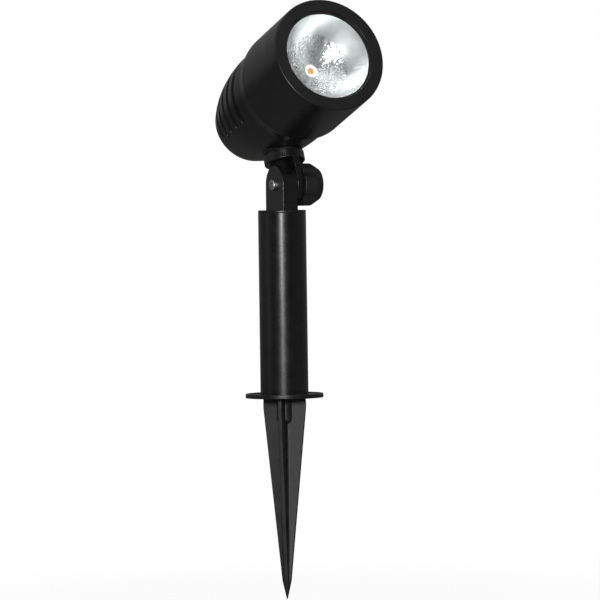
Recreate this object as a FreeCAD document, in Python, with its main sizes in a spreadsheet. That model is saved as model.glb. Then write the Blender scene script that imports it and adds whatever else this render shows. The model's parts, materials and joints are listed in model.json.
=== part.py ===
import FreeCAD, Part
import math
import os
import Sketcher

# Garden spike spotlight, in millimetres.
# Frame: the origin is the centre of the ground flange's underside, which rests on the soil.
# +Z runs up the pole.  At rest the lamp head faces -Y and is raised by head_raise_angle degrees,
# and the clamp knob is on the +X side of the pivot.

os.makedirs("parts", exist_ok=True)
V = FreeCAD.Vector
doc = FreeCAD.newDocument("GardenSpikeSpotlight")

# ---------------------------------------------------------------- driving sizes
SIZES = [
    # ground part
    ("spike_width", 29.0), ("spike_length", 134.5), ("spike_shoulder", 7.0), ("spike_web", 3.2),
    ("point_width", 6.0), ("point_length", 12.5), ("spike_core_d", 11.0), ("spike_core_taper", 6.0),
    ("spike_turn_angle", -40.0),
    ("stud_d", 8.0), ("stud_in_spike", 15.0), ("stud_in_plug", 14.0), ("thread_gap", 0.05),
    ("flange_d", 52.0), ("flange_thick", 2.0), ("flange_lip", 1.4), ("flange_lip_rise", 0.9),
    # pole
    ("pole_d", 32.0), ("pole_wall", 1.6), ("pole_length", 121.7), ("plug_length", 20.0),
    ("spigot_length", 18.0), ("socket_gap", 0.05), ("cap_thick", 1.4), ("cap_chamfer", 0.5),
    ("grub_d", 4.0), ("grub_length", 8.0), ("grub_sunk", 0.3), ("grub_inset", 9.0),
    ("grub_socket", 2.0), ("grub_socket_depth", 2.0),
    # pivot post and its bolt
    ("pivot_rise", 18.2), ("post_width", 26.3), ("post_thick", 11.2), ("tongue_thick", 5.4),
    ("tongue_half", 6.0), ("tongue_gap", 0.25), ("bolt_d", 6.0), ("bolt_fit", 0.05),
    ("bolt_head_d", 7.6), ("bolt_head_rise", 2.2), ("bolt_head_sunk", 1.2), ("bolt_head_round", 0.7),
    ("bolt_socket", 3.0), ("bolt_socket_depth", 2.0),
    # arm and swivel
    ("cheek_thick", 4.0), ("cheek_gap", 0.25), ("tilt_down_angle", 50.0), ("tilt_up_angle", 45.0),
    ("hub_offset", 5.4),
    ("hub_d", 27.4), ("hub_thick", 6.3), ("hub_rise", 15.3), ("stem_d", 12.0), ("stem_depth", 4.6),
    ("stem_fit", 0.05), ("stem_groove_depth", 1.0), ("stem_groove_width", 3.4), ("stem_neck_d", 9.0),
    ("pan_screw_d", 3.0), ("pan_screw_gap", 0.1), ("pan_screw_sunk", 0.3), ("pan_washer_thick", 0.8),
    ("pan_washer_d", 24.0), ("pan_gap", 0.1), ("stem_nut_d", 14.0), ("stem_nut_thick", 4.0),
    ("stem_end", 1.0), ("seat_clear", 1.5), ("seat_cut", 8.0),
    # clamp
    ("clamp_washer_d", 16.0), ("clamp_washer_thick", 1.2), ("clamp_gap", 0.1), ("knob_d", 28.4),
    ("knob_length", 15.2), ("knob_end_d", 21.0), ("knob_grip", 9.0), ("flute_count", 5),
    ("flute_d", 9.0), ("flute_depth", 1.3), ("insert_d", 10.0), ("insert_length", 8.0),
    ("bolt_end_gap", 1.5),
    # front of the lamp head
    ("head_raise_angle", 20.4), ("seat_sink", 0.4), ("head_front", 88.7), ("head_d", 78.0),
    ("sleeve_length", 53.0), ("sleeve_wall", 3.0), ("rim_chamfer", 0.7), ("window_d", 61.4),
    ("rim_thick", 2.0), ("gasket_thick", 0.8), ("gasket_width", 6.35), ("glass_thick", 4.0),
    ("head_gap", 0.05), ("reflector_mouth_d", 63.0), ("reflector_throat_d", 9.0),
    ("reflector_wall", 1.2), ("reflector_rim", 1.4), ("reflector_bow", 38.0),
    # light source
    ("plate_thick", 4.0), ("pad_thick", 0.4), ("board_d", 36.0), ("board_thick", 1.6),
    ("emitter_size", 7.0), ("emitter_thick", 1.0), ("phosphor_d", 4.5), ("phosphor_thick", 0.5),
    ("holder_d", 35.0), ("holder_hole_d", 10.6), ("holder_thick", 2.4), ("screw_d", 2.5),
    ("screw_head_d", 3.8), ("screw_head", 1.3), ("screw_length", 6.0), ("holder_screw_r", 15.4),
    ("plate_screw_count", 3),
    # rear housing
    ("housing_length", 78.5), ("spigot_depth", 14.3), ("spigot_wall", 6.0), ("seal_d", 1.8),
    ("seal_back", 6.0), ("seal_groove_width", 2.4), ("waist_d", 71.6), ("waist_at", 9.5),
    ("tail_d", 52.6), ("tail_length", 4.0), ("tail_bow", 150.0), ("end_d", 49.6), ("cavity_d", 50.0),
    ("cavity_straight", 44.0), ("cavity_tail_d", 38.0), ("end_wall", 6.0), ("groove_count", 5),
    ("groove_pitch", 10.5), ("groove_width", 4.4), ("first_groove", 21.2), ("groove_depth", 4.4),
    ("tail_groove_depth", 0.2), ("groove_spread_angle", 243.0), ("boss_d", 26.0),
    # driver and cable entry
    ("driver_width", 30.0), ("driver_length", 38.0), ("driver_thick", 1.6), ("driver_stand", 9.0),
    ("driver_post_d", 4.0), ("driver_post_x", 10.0), ("coil_d", 14.0), ("coil_height", 9.0),
    ("coil_back", 12.0), ("can_d", 8.0), ("can_length", 13.0), ("can_back", 22.0),
    ("gland_thread_d", 10.0), ("gland_drop", 13.0), ("gland_flange_d", 14.5), ("gland_flange", 3.0),
    ("gland_nut_length", 8.0), ("gland_nut_end_d", 11.0), ("gland_sleeve_d", 9.0), ("gland_seal_wall", 1.2),
    ("gland_hole_d", 6.0),
]

sheet = doc.addObject("Spreadsheet::Sheet", "Sizes")
for row, (alias, number) in enumerate(SIZES, start=1):
    sheet.set("A%d" % row, alias)
    sheet.set("B%d" % row, str(number))
    sheet.setAlias("B%d" % row, alias)
doc.recompute()


class Size:
    """A size with the sheet expression that gives it."""

    def __init__(self, text, value):
        self.text = text
        self.value = float(value)

    def joined(self, sign, other, value):
        other_text = other.text if isinstance(other, Size) else repr(other)
        return Size("(%s %s %s)" % (self.text, sign, other_text), value)

    def __add__(self, other):
        return self.joined("+", other, self.value + number_of(other))

    def __sub__(self, other):
        return self.joined("-", other, self.value - number_of(other))

    def __mul__(self, other):
        return self.joined("*", other, self.value * number_of(other))

    def __truediv__(self, other):
        return self.joined("/", other, self.value / number_of(other))

    def __neg__(self):
        return Size("(0 - %s)" % self.text, -self.value)


def number_of(size):
    return size.value if isinstance(size, Size) else float(size)


def cell(alias):
    return Size("Sizes.%s" % alias, sheet.get(alias))


S = {alias: cell(alias) for alias, number in SIZES}
ZERO = Size("0", 0.0)


# ---------------------------------------------------------------- making pieces
class Bow:
    """A profile point reached by an arc of the given radius; side is +1 or -1."""

    def __init__(self, across, along, radius, side):
        self.point = (across, along)
        self.radius = radius
        self.side = side


def plane_of(body, role):
    return next(item for item in body.Origin.OriginFeatures if item.Role == role)


def attach(sketch, body, role, lift=ZERO):
    sketch.AttachmentSupport = [(plane_of(body, role), "")]
    sketch.MapMode = "FlatFace"
    sketch.AttachmentOffset = FreeCAD.Placement(V(0, 0, lift.value), FreeCAD.Rotation())
    if lift is not ZERO:
        sketch.setExpression(".AttachmentOffset.Base.z", lift.text)


def bind(sketch, constraint, size):
    index = sketch.addConstraint(constraint)
    if size.text != "0":
        sketch.setExpression("Constraints[%d]" % index, size.text)


def outline(sketch, points):
    """Draw a closed outline whose corners are held by named sizes."""
    corners = [item.point if isinstance(item, Bow) else item for item in points]
    places = [V(a.value, b.value, 0) for a, b in corners]
    count = len(points)
    for i in range(count):
        start, end, target = places[i], places[(i + 1) % count], points[(i + 1) % count]
        if isinstance(target, Bow):
            chord = end - start
            radius = target.radius.value
            drop = radius - math.sqrt(radius ** 2 - chord.Length ** 2 / 4)
            side = V(-chord.y, chord.x, 0).normalize() * target.side
            middle = (start + end) / 2 + side * drop
            if target.side > 0:
                start, end = end, start
            sketch.addGeometry(Part.Arc(start, middle, end))
        else:
            sketch.addGeometry(Part.LineSegment(start, end))
    ends = []
    for i in range(count):
        geometry = sketch.Geometry[i]
        first = V(geometry.StartPoint.x, geometry.StartPoint.y, 0)
        ends.append((1, 2) if first.isEqual(places[i], 1e-6) else (2, 1))
    for i in range(count):
        following = (i + 1) % count
        sketch.addConstraint(Sketcher.Constraint("Coincident", i, ends[i][1], following, ends[following][0]))
    for i, (across, along) in enumerate(corners):
        bind(sketch, Sketcher.Constraint("DistanceX", -1, 1, i, ends[i][0], across.value), across)
        bind(sketch, Sketcher.Constraint("DistanceY", -1, 1, i, ends[i][0], along.value), along)
    for i in range(count):
        target = points[(i + 1) % count]
        if isinstance(target, Bow):
            bind(sketch, Sketcher.Constraint("Radius", i, target.radius.value), target.radius)


def circle(sketch, across, along, radius):
    index = sketch.addGeometry(Part.Circle(V(across.value, along.value, 0), V(0, 0, 1), radius.value))
    bind(sketch, Sketcher.Constraint("Radius", index, radius.value), radius)
    bind(sketch, Sketcher.Constraint("DistanceX", -1, 1, index, 3, across.value), across)
    bind(sketch, Sketcher.Constraint("DistanceY", -1, 1, index, 3, along.value), along)


def new_body(name):
    body = doc.addObject("PartDesign::Body", name)
    body.Label = name
    return body


def sketch_in(body, role, lift=ZERO):
    sketch = body.newObject("Sketcher::SketchObject", body.Name + "_sketch")
    attach(sketch, body, role, lift)
    return sketch


def turn(body, points, feature="PartDesign::Revolution", sweep=None):
    """Add or cut a turned shape round the body's Z axis; a part turn is centred on +Y."""
    sketch = sketch_in(body, "YZ_Plane")
    outline(sketch, points)
    made = body.newObject(feature, body.Name + "_turned")
    made.Profile = sketch
    made.ReferenceAxis = (sketch, ["V_Axis"])
    made.Angle = 360.0
    if sweep is not None:
        made.Angle = sweep.value
        made.setExpression("Angle", sweep.text)
        made.Midplane = True
    return made


def turned(name, points):
    body = new_body(name)
    turn(body, points)
    return body


def ring(name, outer_d, inner_d, low, high):
    inner, outer = inner_d / 2, outer_d / 2
    return turned(name, [(inner, low), (outer, low), (outer, high), (inner, high)])


def pad(body, role, draw, lift, length, cut=False):
    """Pad, or cut, what draw puts in a sketch lifted off one origin plane."""
    doc.recompute()
    before = body.Shape.Volume if cut else 0.0
    sketch = sketch_in(body, role, lift)
    draw(sketch)
    kind = "PartDesign::Pocket" if cut else "PartDesign::Pad"
    made = body.newObject(kind, body.Name + ("_cut" if cut else "_pad"))
    made.Profile = sketch
    made.Length = length.value
    made.setExpression("Length", length.text)
    made.Reversed = cut
    if cut:
        doc.recompute()
        if made.Shape.Volume > before - 1e-6:
            raise RuntimeError("%s cuts nothing" % made.Name)
    return made


def box_outline(low_a, low_b, high_a, high_b):
    return [(low_a, low_b), (high_a, low_b), (high_a, high_b), (low_a, high_b)]


def hexagon(sketch, across_flats):
    """A hexagon about the sketch's origin, with two flats level."""
    half = across_flats / 2
    reach = across_flats / math.sqrt(3)
    outline(sketch, [(reach, ZERO), (reach / 2, half), (-reach / 2, half),
                     (-reach, ZERO), (-reach / 2, -half), (reach / 2, -half)])


def polar(length, angle):
    """Across and along of a point at this length and this angle in degrees."""
    turn_text = "%s * 1 deg" % angle.text
    turn_rad = math.radians(angle.value)
    return (Size("(%s * cos(%s))" % (length.text, turn_text), length.value * math.cos(turn_rad)),
            Size("(%s * sin(%s))" % (length.text, turn_text), length.value * math.sin(turn_rad)))


# ---------------------------------------------------------------- places
def number(alias):
    return S[alias].value


POLE_TOP = S["flange_thick"] + S["pole_length"]
PIVOT_Z = POLE_TOP + S["pivot_rise"]
PIVOT = V(0, 0, PIVOT_Z.value)

# The swivel's seat lies seat_sink inside the belly's widest radius, and carries the head on the hub's washer.
SEAT = S["hub_thick"] + S["pan_gap"] + S["pan_washer_thick"]
AXIS_ABOVE_HUB = SEAT + S["waist_d"] / 2 - S["seat_sink"]
HEAD_HEIGHT = S["hub_rise"] + AXIS_ABOVE_HUB

# The head frame has its origin on the pivot, Y up through the hub and Z out through the glass.
HEAD = FreeCAD.Placement(PIVOT, FreeCAD.Rotation(V(1, 0, 0), 90 - number("head_raise_angle")))
# The lamp frame lies on the head's own axis, with Z = 0 at the front rim and Z < 0 behind it.
LAMP = HEAD * FreeCAD.Placement(V(number("hub_offset"), HEAD_HEIGHT.value, number("head_front")),
                                FreeCAD.Rotation())
# The hub frame stands on the hub's lower face, with Z up through the swivel.
HUB = HEAD * FreeCAD.Placement(V(number("hub_offset"), number("hub_rise"), 0),
                               FreeCAD.Rotation(V(1, 0, 0), -90))
# The bolt frame runs along the pivot, with Z = 0 on the post's +X face.
BOLT = FreeCAD.Placement(V(number("post_thick") / 2, 0, PIVOT_Z.value), FreeCAD.Rotation(V(0, 1, 0), 90))

pieces = []


def keep(body, placement=None):
    if placement is not None:
        body.Placement = placement
    pieces.append(body)
    return body


# ---------------------------------------------------------------- ground part
def ground_spike():
    """Cross-shaped spike: two crossed blades with a long taper and a short point."""
    body = new_body("ground_spike")
    half = S["spike_width"] / 2
    tip = S["point_width"] / 2
    web = S["spike_web"]
    blade = [(ZERO, -S["spike_length"]), (tip, S["point_length"] - S["spike_length"]),
             (half, -S["spike_shoulder"]), (half, ZERO), (-half, ZERO), (-half, -S["spike_shoulder"]),
             (-tip, S["point_length"] - S["spike_length"])]
    pad(body, "XZ_Plane", lambda sketch: outline(sketch, blade), -web / 2, web)
    pad(body, "YZ_Plane", lambda sketch: outline(sketch, blade), -web / 2, web)
    core = S["spike_core_d"] / 2
    turn(body, [(ZERO, -S["stud_in_spike"] - S["spike_core_taper"]), (core, -S["stud_in_spike"]), (core, ZERO),
                (ZERO, ZERO)])
    thread = S["stud_d"] / 2 + S["thread_gap"]
    turn(body, [(ZERO, -S["stud_in_spike"]), (thread, -S["stud_in_spike"]), (thread, ZERO), (ZERO, ZERO)],
         "PartDesign::Groove")
    return body


def ground_flange():
    """Thin stop disc that meets the soil, with a turned-up edge."""
    bore = S["stud_d"] / 2 + S["thread_gap"]
    outer = S["flange_d"] / 2
    lip = outer - S["flange_lip"]
    top = S["flange_thick"]
    rise = top + S["flange_lip_rise"]
    return turned("ground_flange", [(bore, ZERO), (outer, ZERO), (outer, rise), (lip, rise), (lip, top),
                                    (bore, top)])


def spike_stud():
    radius = S["stud_d"] / 2
    high = S["flange_thick"] + S["stud_in_plug"]
    return turned("spike_stud", [(ZERO, -S["stud_in_spike"]), (radius, -S["stud_in_spike"]),
                                 (radius, high), (ZERO, high)])


def grub_hole(body, height):
    """Radial hole for a grub screw at the back of the pole."""
    reach = S["pole_d"] / 2
    deep = S["grub_length"] + S["grub_sunk"]
    pad(body, "XZ_Plane", lambda sketch: circle(sketch, ZERO, height, S["grub_d"] / 2 + S["thread_gap"]),
        -reach, deep, cut=True)


LOW_SCREW = S["flange_thick"] + S["grub_inset"]
HIGH_SCREW = POLE_TOP - S["grub_inset"]
POLE_BORE = S["pole_d"] / 2 - S["pole_wall"]


def pole_plug():
    """Turned insert in the foot of the pole, tapped for the stud."""
    thread = S["stud_d"] / 2 + S["thread_gap"]
    outer = POLE_BORE - S["socket_gap"]
    low = S["flange_thick"]
    high = low + S["plug_length"]
    body = turned("pole_plug", [(thread, low), (outer, low), (outer, high), (thread, high)])
    grub_hole(body, LOW_SCREW)
    return body


def pole_tube():
    body = ring("pole_tube", S["pole_d"], POLE_BORE * 2, S["flange_thick"], POLE_TOP)
    grub_hole(body, LOW_SCREW)
    grub_hole(body, HIGH_SCREW)
    return body


def grub_screws(name, places):
    """Grub screws with hexagon sockets, as one group of separate solids."""
    length, radius = S["grub_length"], S["grub_d"] / 2
    screws = []
    for i, place in enumerate(places):
        body = new_body("%s_%d" % (name, i + 1))
        pad(body, "XY_Plane", lambda sketch: circle(sketch, ZERO, ZERO, radius), ZERO, length)
        pad(body, "XY_Plane", lambda sketch: hexagon(sketch, S["grub_socket"]),
            length - S["grub_socket_depth"], S["grub_socket_depth"], cut=True)
        body.Placement = place
        screws.append(body)
    return group(name, screws)


def group(name, bodies):
    doc.recompute()
    made = doc.addObject("Part::Compound", name)
    made.Label = name
    made.Links = bodies
    return made


# ---------------------------------------------------------------- pivot post
def pivot_post():
    """Cast fork on top of the pole: spigot, cap, and a round-topped block slotted for the arm."""
    body = new_body("pivot_post")
    spigot = POLE_BORE - S["socket_gap"]
    rim = S["pole_d"] / 2
    low = POLE_TOP - S["spigot_length"]
    high = POLE_TOP + S["cap_thick"]
    turn(body, [(ZERO, low), (spigot, low), (spigot, POLE_TOP), (rim, POLE_TOP),
                (rim, high - S["cap_chamfer"]), (rim - S["cap_chamfer"], high), (ZERO, high)])
    half = S["post_width"] / 2
    thick = S["post_thick"]

    def block(sketch):
        outline(sketch, [(-half, POLE_TOP + S["cap_thick"] / 2), (half, POLE_TOP + S["cap_thick"] / 2),
                         (half, PIVOT_Z), (-half, PIVOT_Z)])

    pad(body, "YZ_Plane", block, -thick / 2, thick)
    pad(body, "YZ_Plane", lambda sketch: circle(sketch, ZERO, PIVOT_Z, half), -thick / 2, thick)
    # The slot clears the tongue over the whole tilt, from the head looking down to looking up.
    slot = S["tongue_thick"] + S["tongue_gap"] * 2
    clear = S["tongue_half"] + S["tongue_gap"]
    down = S["tilt_down_angle"] - S["head_raise_angle"] + 90
    up = -(S["head_raise_angle"] + S["tilt_up_angle"]) + 90
    beyond = S["post_width"]
    front_a, front_b = polar(clear, down + 90)
    back_a, back_b = polar(clear, up - 90)
    lean_a, lean_b = polar(beyond, down)
    rise_a, rise_b = polar(beyond, up)
    sweep = [(front_a, front_b), (back_a, back_b), (back_a + rise_a, back_b + rise_b), (beyond, beyond),
             (front_a + lean_a, front_b + lean_b)]
    pad(body, "YZ_Plane", lambda sketch: circle(sketch, ZERO, PIVOT_Z, clear), -slot / 2, slot, cut=True)
    pad(body, "YZ_Plane", lambda sketch: outline(sketch, [(a, PIVOT_Z + b) for a, b in sweep]),
        -slot / 2, slot, cut=True)
    pad(body, "YZ_Plane", lambda sketch: circle(sketch, ZERO, PIVOT_Z, S["bolt_d"] / 2 + S["bolt_fit"]),
        -thick / 2, thick, cut=True)
    pad(body, "YZ_Plane", lambda sketch: circle(sketch, ZERO, PIVOT_Z, S["bolt_head_d"] / 2 + S["bolt_fit"]),
        -thick / 2, S["bolt_head_sunk"], cut=True)
    grub_hole(body, HIGH_SCREW)
    return body


CHEEK_INNER = S["post_thick"] / 2 + S["cheek_gap"]
CHEEK_OUTER = CHEEK_INNER + S["cheek_thick"]
CLAMP_START = CHEEK_OUTER - S["post_thick"] / 2 + S["clamp_gap"]
KNOB_START = CLAMP_START + S["clamp_washer_thick"]
BOLT_END = KNOB_START + S["insert_length"] - S["bolt_end_gap"]


def pivot_bolt():
    """Bolt that carries the arm: low round head with a hexagon socket on the -X side."""
    shank, head = S["bolt_d"] / 2, S["bolt_head_d"] / 2
    seat = S["bolt_head_sunk"] - S["post_thick"]
    face = -S["post_thick"] - S["bolt_head_rise"]
    crown = S["bolt_head_round"]
    body = turned("pivot_bolt", [(ZERO, face), (head - crown, face), (head, face + crown), (head, seat),
                                 (shank, seat), (shank, BOLT_END), (ZERO, BOLT_END)])
    pad(body, "XY_Plane", lambda sketch: hexagon(sketch, S["bolt_socket"]), face, S["bolt_socket_depth"],
        cut=True)
    return body


# ---------------------------------------------------------------- arm
def swivel_arm():
    """Arm in the head frame: a hub under the lamp with a tongue in the post and a cheek beside it."""
    body = new_body("swivel_arm")
    nose = S["post_width"] / 2 - S["tongue_gap"]
    bottom, top = S["hub_rise"], S["hub_rise"] + S["hub_thick"]
    merge = bottom + S["hub_thick"] / 2

    web = S["tongue_thick"]
    for start, thick, half in ((-web / 2, web, S["tongue_half"]), (CHEEK_INNER, S["cheek_thick"], nose)):
        profile = [(ZERO, -half), (merge, -half), (merge, half), (ZERO, half)]
        pad(body, "YZ_Plane", lambda sketch: outline(sketch, profile), start, thick)
        pad(body, "YZ_Plane", lambda sketch: circle(sketch, ZERO, ZERO, half), start, thick)
    radius = S["hub_d"] / 2
    sketch = sketch_in(body, "XZ_Plane", -top)
    circle(sketch, S["hub_offset"], ZERO, radius)
    hub = body.newObject("PartDesign::Pad", "hub_pad")
    hub.Profile = sketch
    hub.Length = S["hub_thick"].value
    hub.setExpression("Length", S["hub_thick"].text)
    bore = S["stem_d"] / 2 + S["stem_fit"]
    pad(body, "XZ_Plane", lambda sketch: circle(sketch, S["hub_offset"], ZERO, bore), -top, S["stem_depth"],
        cut=True)
    pad(body, "YZ_Plane", lambda sketch: circle(sketch, ZERO, ZERO, S["bolt_d"] / 2 + S["bolt_fit"]),
        -web / 2, CHEEK_OUTER + web / 2, cut=True)
    screw = S["pan_screw_d"] / 2 + S["thread_gap"]
    height = top - S["stem_depth"] / 2
    pad(body, "XY_Plane", lambda sketch: circle(sketch, S["hub_offset"], height, screw), -radius,
        radius, cut=True)
    return body


def swivel_stem():
    """Grooved stem in the hub's bore, with a neck that passes through the housing wall."""
    foot = S["hub_thick"] - S["stem_depth"] + S["pan_gap"]
    radius, neck = S["stem_d"] / 2, S["stem_neck_d"] / 2
    middle = S["hub_thick"] - S["stem_depth"] / 2
    low, high = middle - S["stem_groove_width"] / 2, middle + S["stem_groove_width"] / 2
    waist = radius - S["stem_groove_depth"]
    end = NUT_FOOT + S["stem_nut_thick"] + S["stem_end"]
    return turned("swivel_stem", [(ZERO, foot), (radius, foot), (radius, low), (waist, low), (waist, high),
                                  (radius, high), (radius, SEAT), (neck, SEAT), (neck, end), (ZERO, end)])


def nut_foot():
    """Height in the hub frame where a flat nut of this width meets the round cavity."""
    cavity, nut = number("cavity_d") / 2, number("stem_nut_d") / 2
    chord = math.sqrt(cavity ** 2 - nut ** 2)
    text = "sqrt((%s)^2 - (%s)^2) * 1" % ((S["cavity_d"] / 2).text, (S["stem_nut_d"] / 2).text)
    return AXIS_ABOVE_HUB - Size(text, chord) + S["head_gap"]


NUT_FOOT = nut_foot()


def pan_screw():
    """Set screw at the back of the hub whose tip runs in the stem's groove."""
    tip = S["stem_d"] / 2 - S["stem_groove_depth"] + S["pan_screw_gap"]
    length = S["hub_d"] / 2 - S["pan_screw_sunk"] - tip
    body = new_body("pan_screw")
    pad(body, "XY_Plane", lambda sketch: circle(sketch, ZERO, ZERO, S["pan_screw_d"] / 2), tip, length)
    return body


# ---------------------------------------------------------------- clamp
def clamp_knob():
    """Fluted hand knob, wide at the arm and tapered to its outer end."""
    wide, narrow, bore = S["knob_d"] / 2, S["knob_end_d"] / 2, S["insert_d"] / 2
    end = KNOB_START + S["knob_length"]
    deep = KNOB_START + S["insert_length"]
    body = turned("clamp_knob", [(bore, KNOB_START), (wide, KNOB_START), (wide, KNOB_START + S["knob_grip"]),
                                 (narrow, end), (ZERO, end), (ZERO, deep), (bore, deep)])
    reach = wide + S["flute_d"] / 2 - S["flute_depth"]
    sketch = sketch_in(body, "XY_Plane", KNOB_START)
    circle(sketch, ZERO, reach, S["flute_d"] / 2)
    flute = body.newObject("PartDesign::Pocket", "flute")
    flute.Profile = sketch
    flute.Length = S["knob_length"].value
    flute.setExpression("Length", S["knob_length"].text)
    flute.Reversed = True
    doc.recompute()
    pattern = body.newObject("PartDesign::PolarPattern", "flutes")
    pattern.Originals = [flute]
    pattern.Axis = (sketch, ["N_Axis"])
    pattern.Angle = 360.0
    pattern.Occurrences = int(number("flute_count"))
    pattern.setExpression("Occurrences", S["flute_count"].text)
    body.Tip = pattern
    return body


# ---------------------------------------------------------------- front of the lamp head
SLEEVE_BORE = S["head_d"] / 2 - S["sleeve_wall"]
INSIDE = SLEEVE_BORE - S["head_gap"]
GASKET_BACK = -S["rim_thick"] - S["gasket_thick"]
GLASS_BACK = GASKET_BACK - S["glass_thick"]
SPIGOT_FRONT = S["spigot_depth"] - S["sleeve_length"]
PLATE_FRONT = SPIGOT_FRONT + S["plate_thick"]
BOARD_BACK = PLATE_FRONT + S["pad_thick"]
BOARD_FRONT = BOARD_BACK + S["board_thick"]
HOLDER_FRONT = BOARD_FRONT + S["holder_thick"]
HOUSING_END = -S["sleeve_length"] - S["housing_length"]


def front_sleeve():
    """Round casing with the front rim turned in over the glass."""
    outer, window, chamfer = S["head_d"] / 2, S["window_d"] / 2, S["rim_chamfer"]
    back = -S["sleeve_length"]
    return turned("front_sleeve", [(window, ZERO), (outer - chamfer, ZERO), (outer, -chamfer), (outer, back),
                                   (SLEEVE_BORE, back), (SLEEVE_BORE, -S["rim_thick"]),
                                   (window, -S["rim_thick"])])


def reflector():
    """Bowl-shaped reflector between the glass and the holder, with a flat rim."""
    mouth, throat, wall = S["reflector_mouth_d"] / 2, S["reflector_throat_d"] / 2, S["reflector_wall"]
    rim = GLASS_BACK - S["reflector_rim"]
    bow = S["reflector_bow"]
    return turned("reflector", [Bow(throat, HOLDER_FRONT, bow, 1), (throat + wall, HOLDER_FRONT),
                                Bow(mouth + wall, rim, bow, -1), (INSIDE, rim), (INSIDE, GLASS_BACK),
                                (mouth, GLASS_BACK)])


def round_holes(body, places, radius, low, length):
    for across, along in places:
        pad(body, "XY_Plane", lambda sketch: circle(sketch, across, along, radius), low, length, cut=True)


HOLDER_SCREWS = [(S["holder_screw_r"], ZERO), (-S["holder_screw_r"], ZERO)]


def plate_screw_places():
    """Centres of the plate's screws, evenly spaced round its edge."""
    count = int(number("plate_screw_count"))
    places = []
    for i in range(count):
        angle = Size("(90 + %d * 360 / %d)" % (i, count), 90 + i * 360 / count)
        places.append(polar(INSIDE - S["spigot_wall"] / 2, angle))
    return places


PLATE_SCREWS = plate_screw_places()
SCREW_HOLE = S["screw_d"] / 2 + S["thread_gap"]


def heat_plate():
    """Aluminium plate on the housing's front end that carries the light source."""
    body = turned("heat_plate", [(ZERO, SPIGOT_FRONT), (INSIDE, SPIGOT_FRONT), (INSIDE, PLATE_FRONT),
                                 (ZERO, PLATE_FRONT)])
    round_holes(body, PLATE_SCREWS + HOLDER_SCREWS, SCREW_HOLE, SPIGOT_FRONT, S["plate_thick"])
    return body


def disc_with_screw_holes(name, diameter, low, thick):
    body = turned(name, [(ZERO, low), (diameter / 2, low), (diameter / 2, low + thick), (ZERO, low + thick)])
    round_holes(body, HOLDER_SCREWS, SCREW_HOLE, low, thick)
    return body


def led_holder():
    body = ring("led_holder", S["holder_d"], S["holder_hole_d"], BOARD_FRONT, HOLDER_FRONT)
    round_holes(body, HOLDER_SCREWS, SCREW_HOLE, BOARD_FRONT, S["holder_thick"])
    return body


def led_emitter():
    body = new_body("led_emitter")
    half = S["emitter_size"] / 2
    pad(body, "XY_Plane", lambda sketch: outline(sketch, box_outline(-half, -half, half, half)),
        BOARD_FRONT, S["emitter_thick"])
    return body


def machine_screws(name, places, seat):
    """Pan-head screws, as one group of separate solids, with their heads on the seat."""
    screws = []
    for i, (across, along) in enumerate(places):
        shank, head = S["screw_d"] / 2, S["screw_head_d"] / 2
        body = turned("%s_%d" % (name, i + 1), [(ZERO, -S["screw_length"]), (shank, -S["screw_length"]),
                                                (shank, ZERO), (head, ZERO), (head, S["screw_head"]),
                                                (ZERO, S["screw_head"])])
        body.Placement = LAMP * FreeCAD.Placement(V(across.value, along.value, seat.value), FreeCAD.Rotation())
        screws.append(body)
    return group(name, screws)


# ---------------------------------------------------------------- rear housing
GLAND_Y = -S["gland_drop"]


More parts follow.
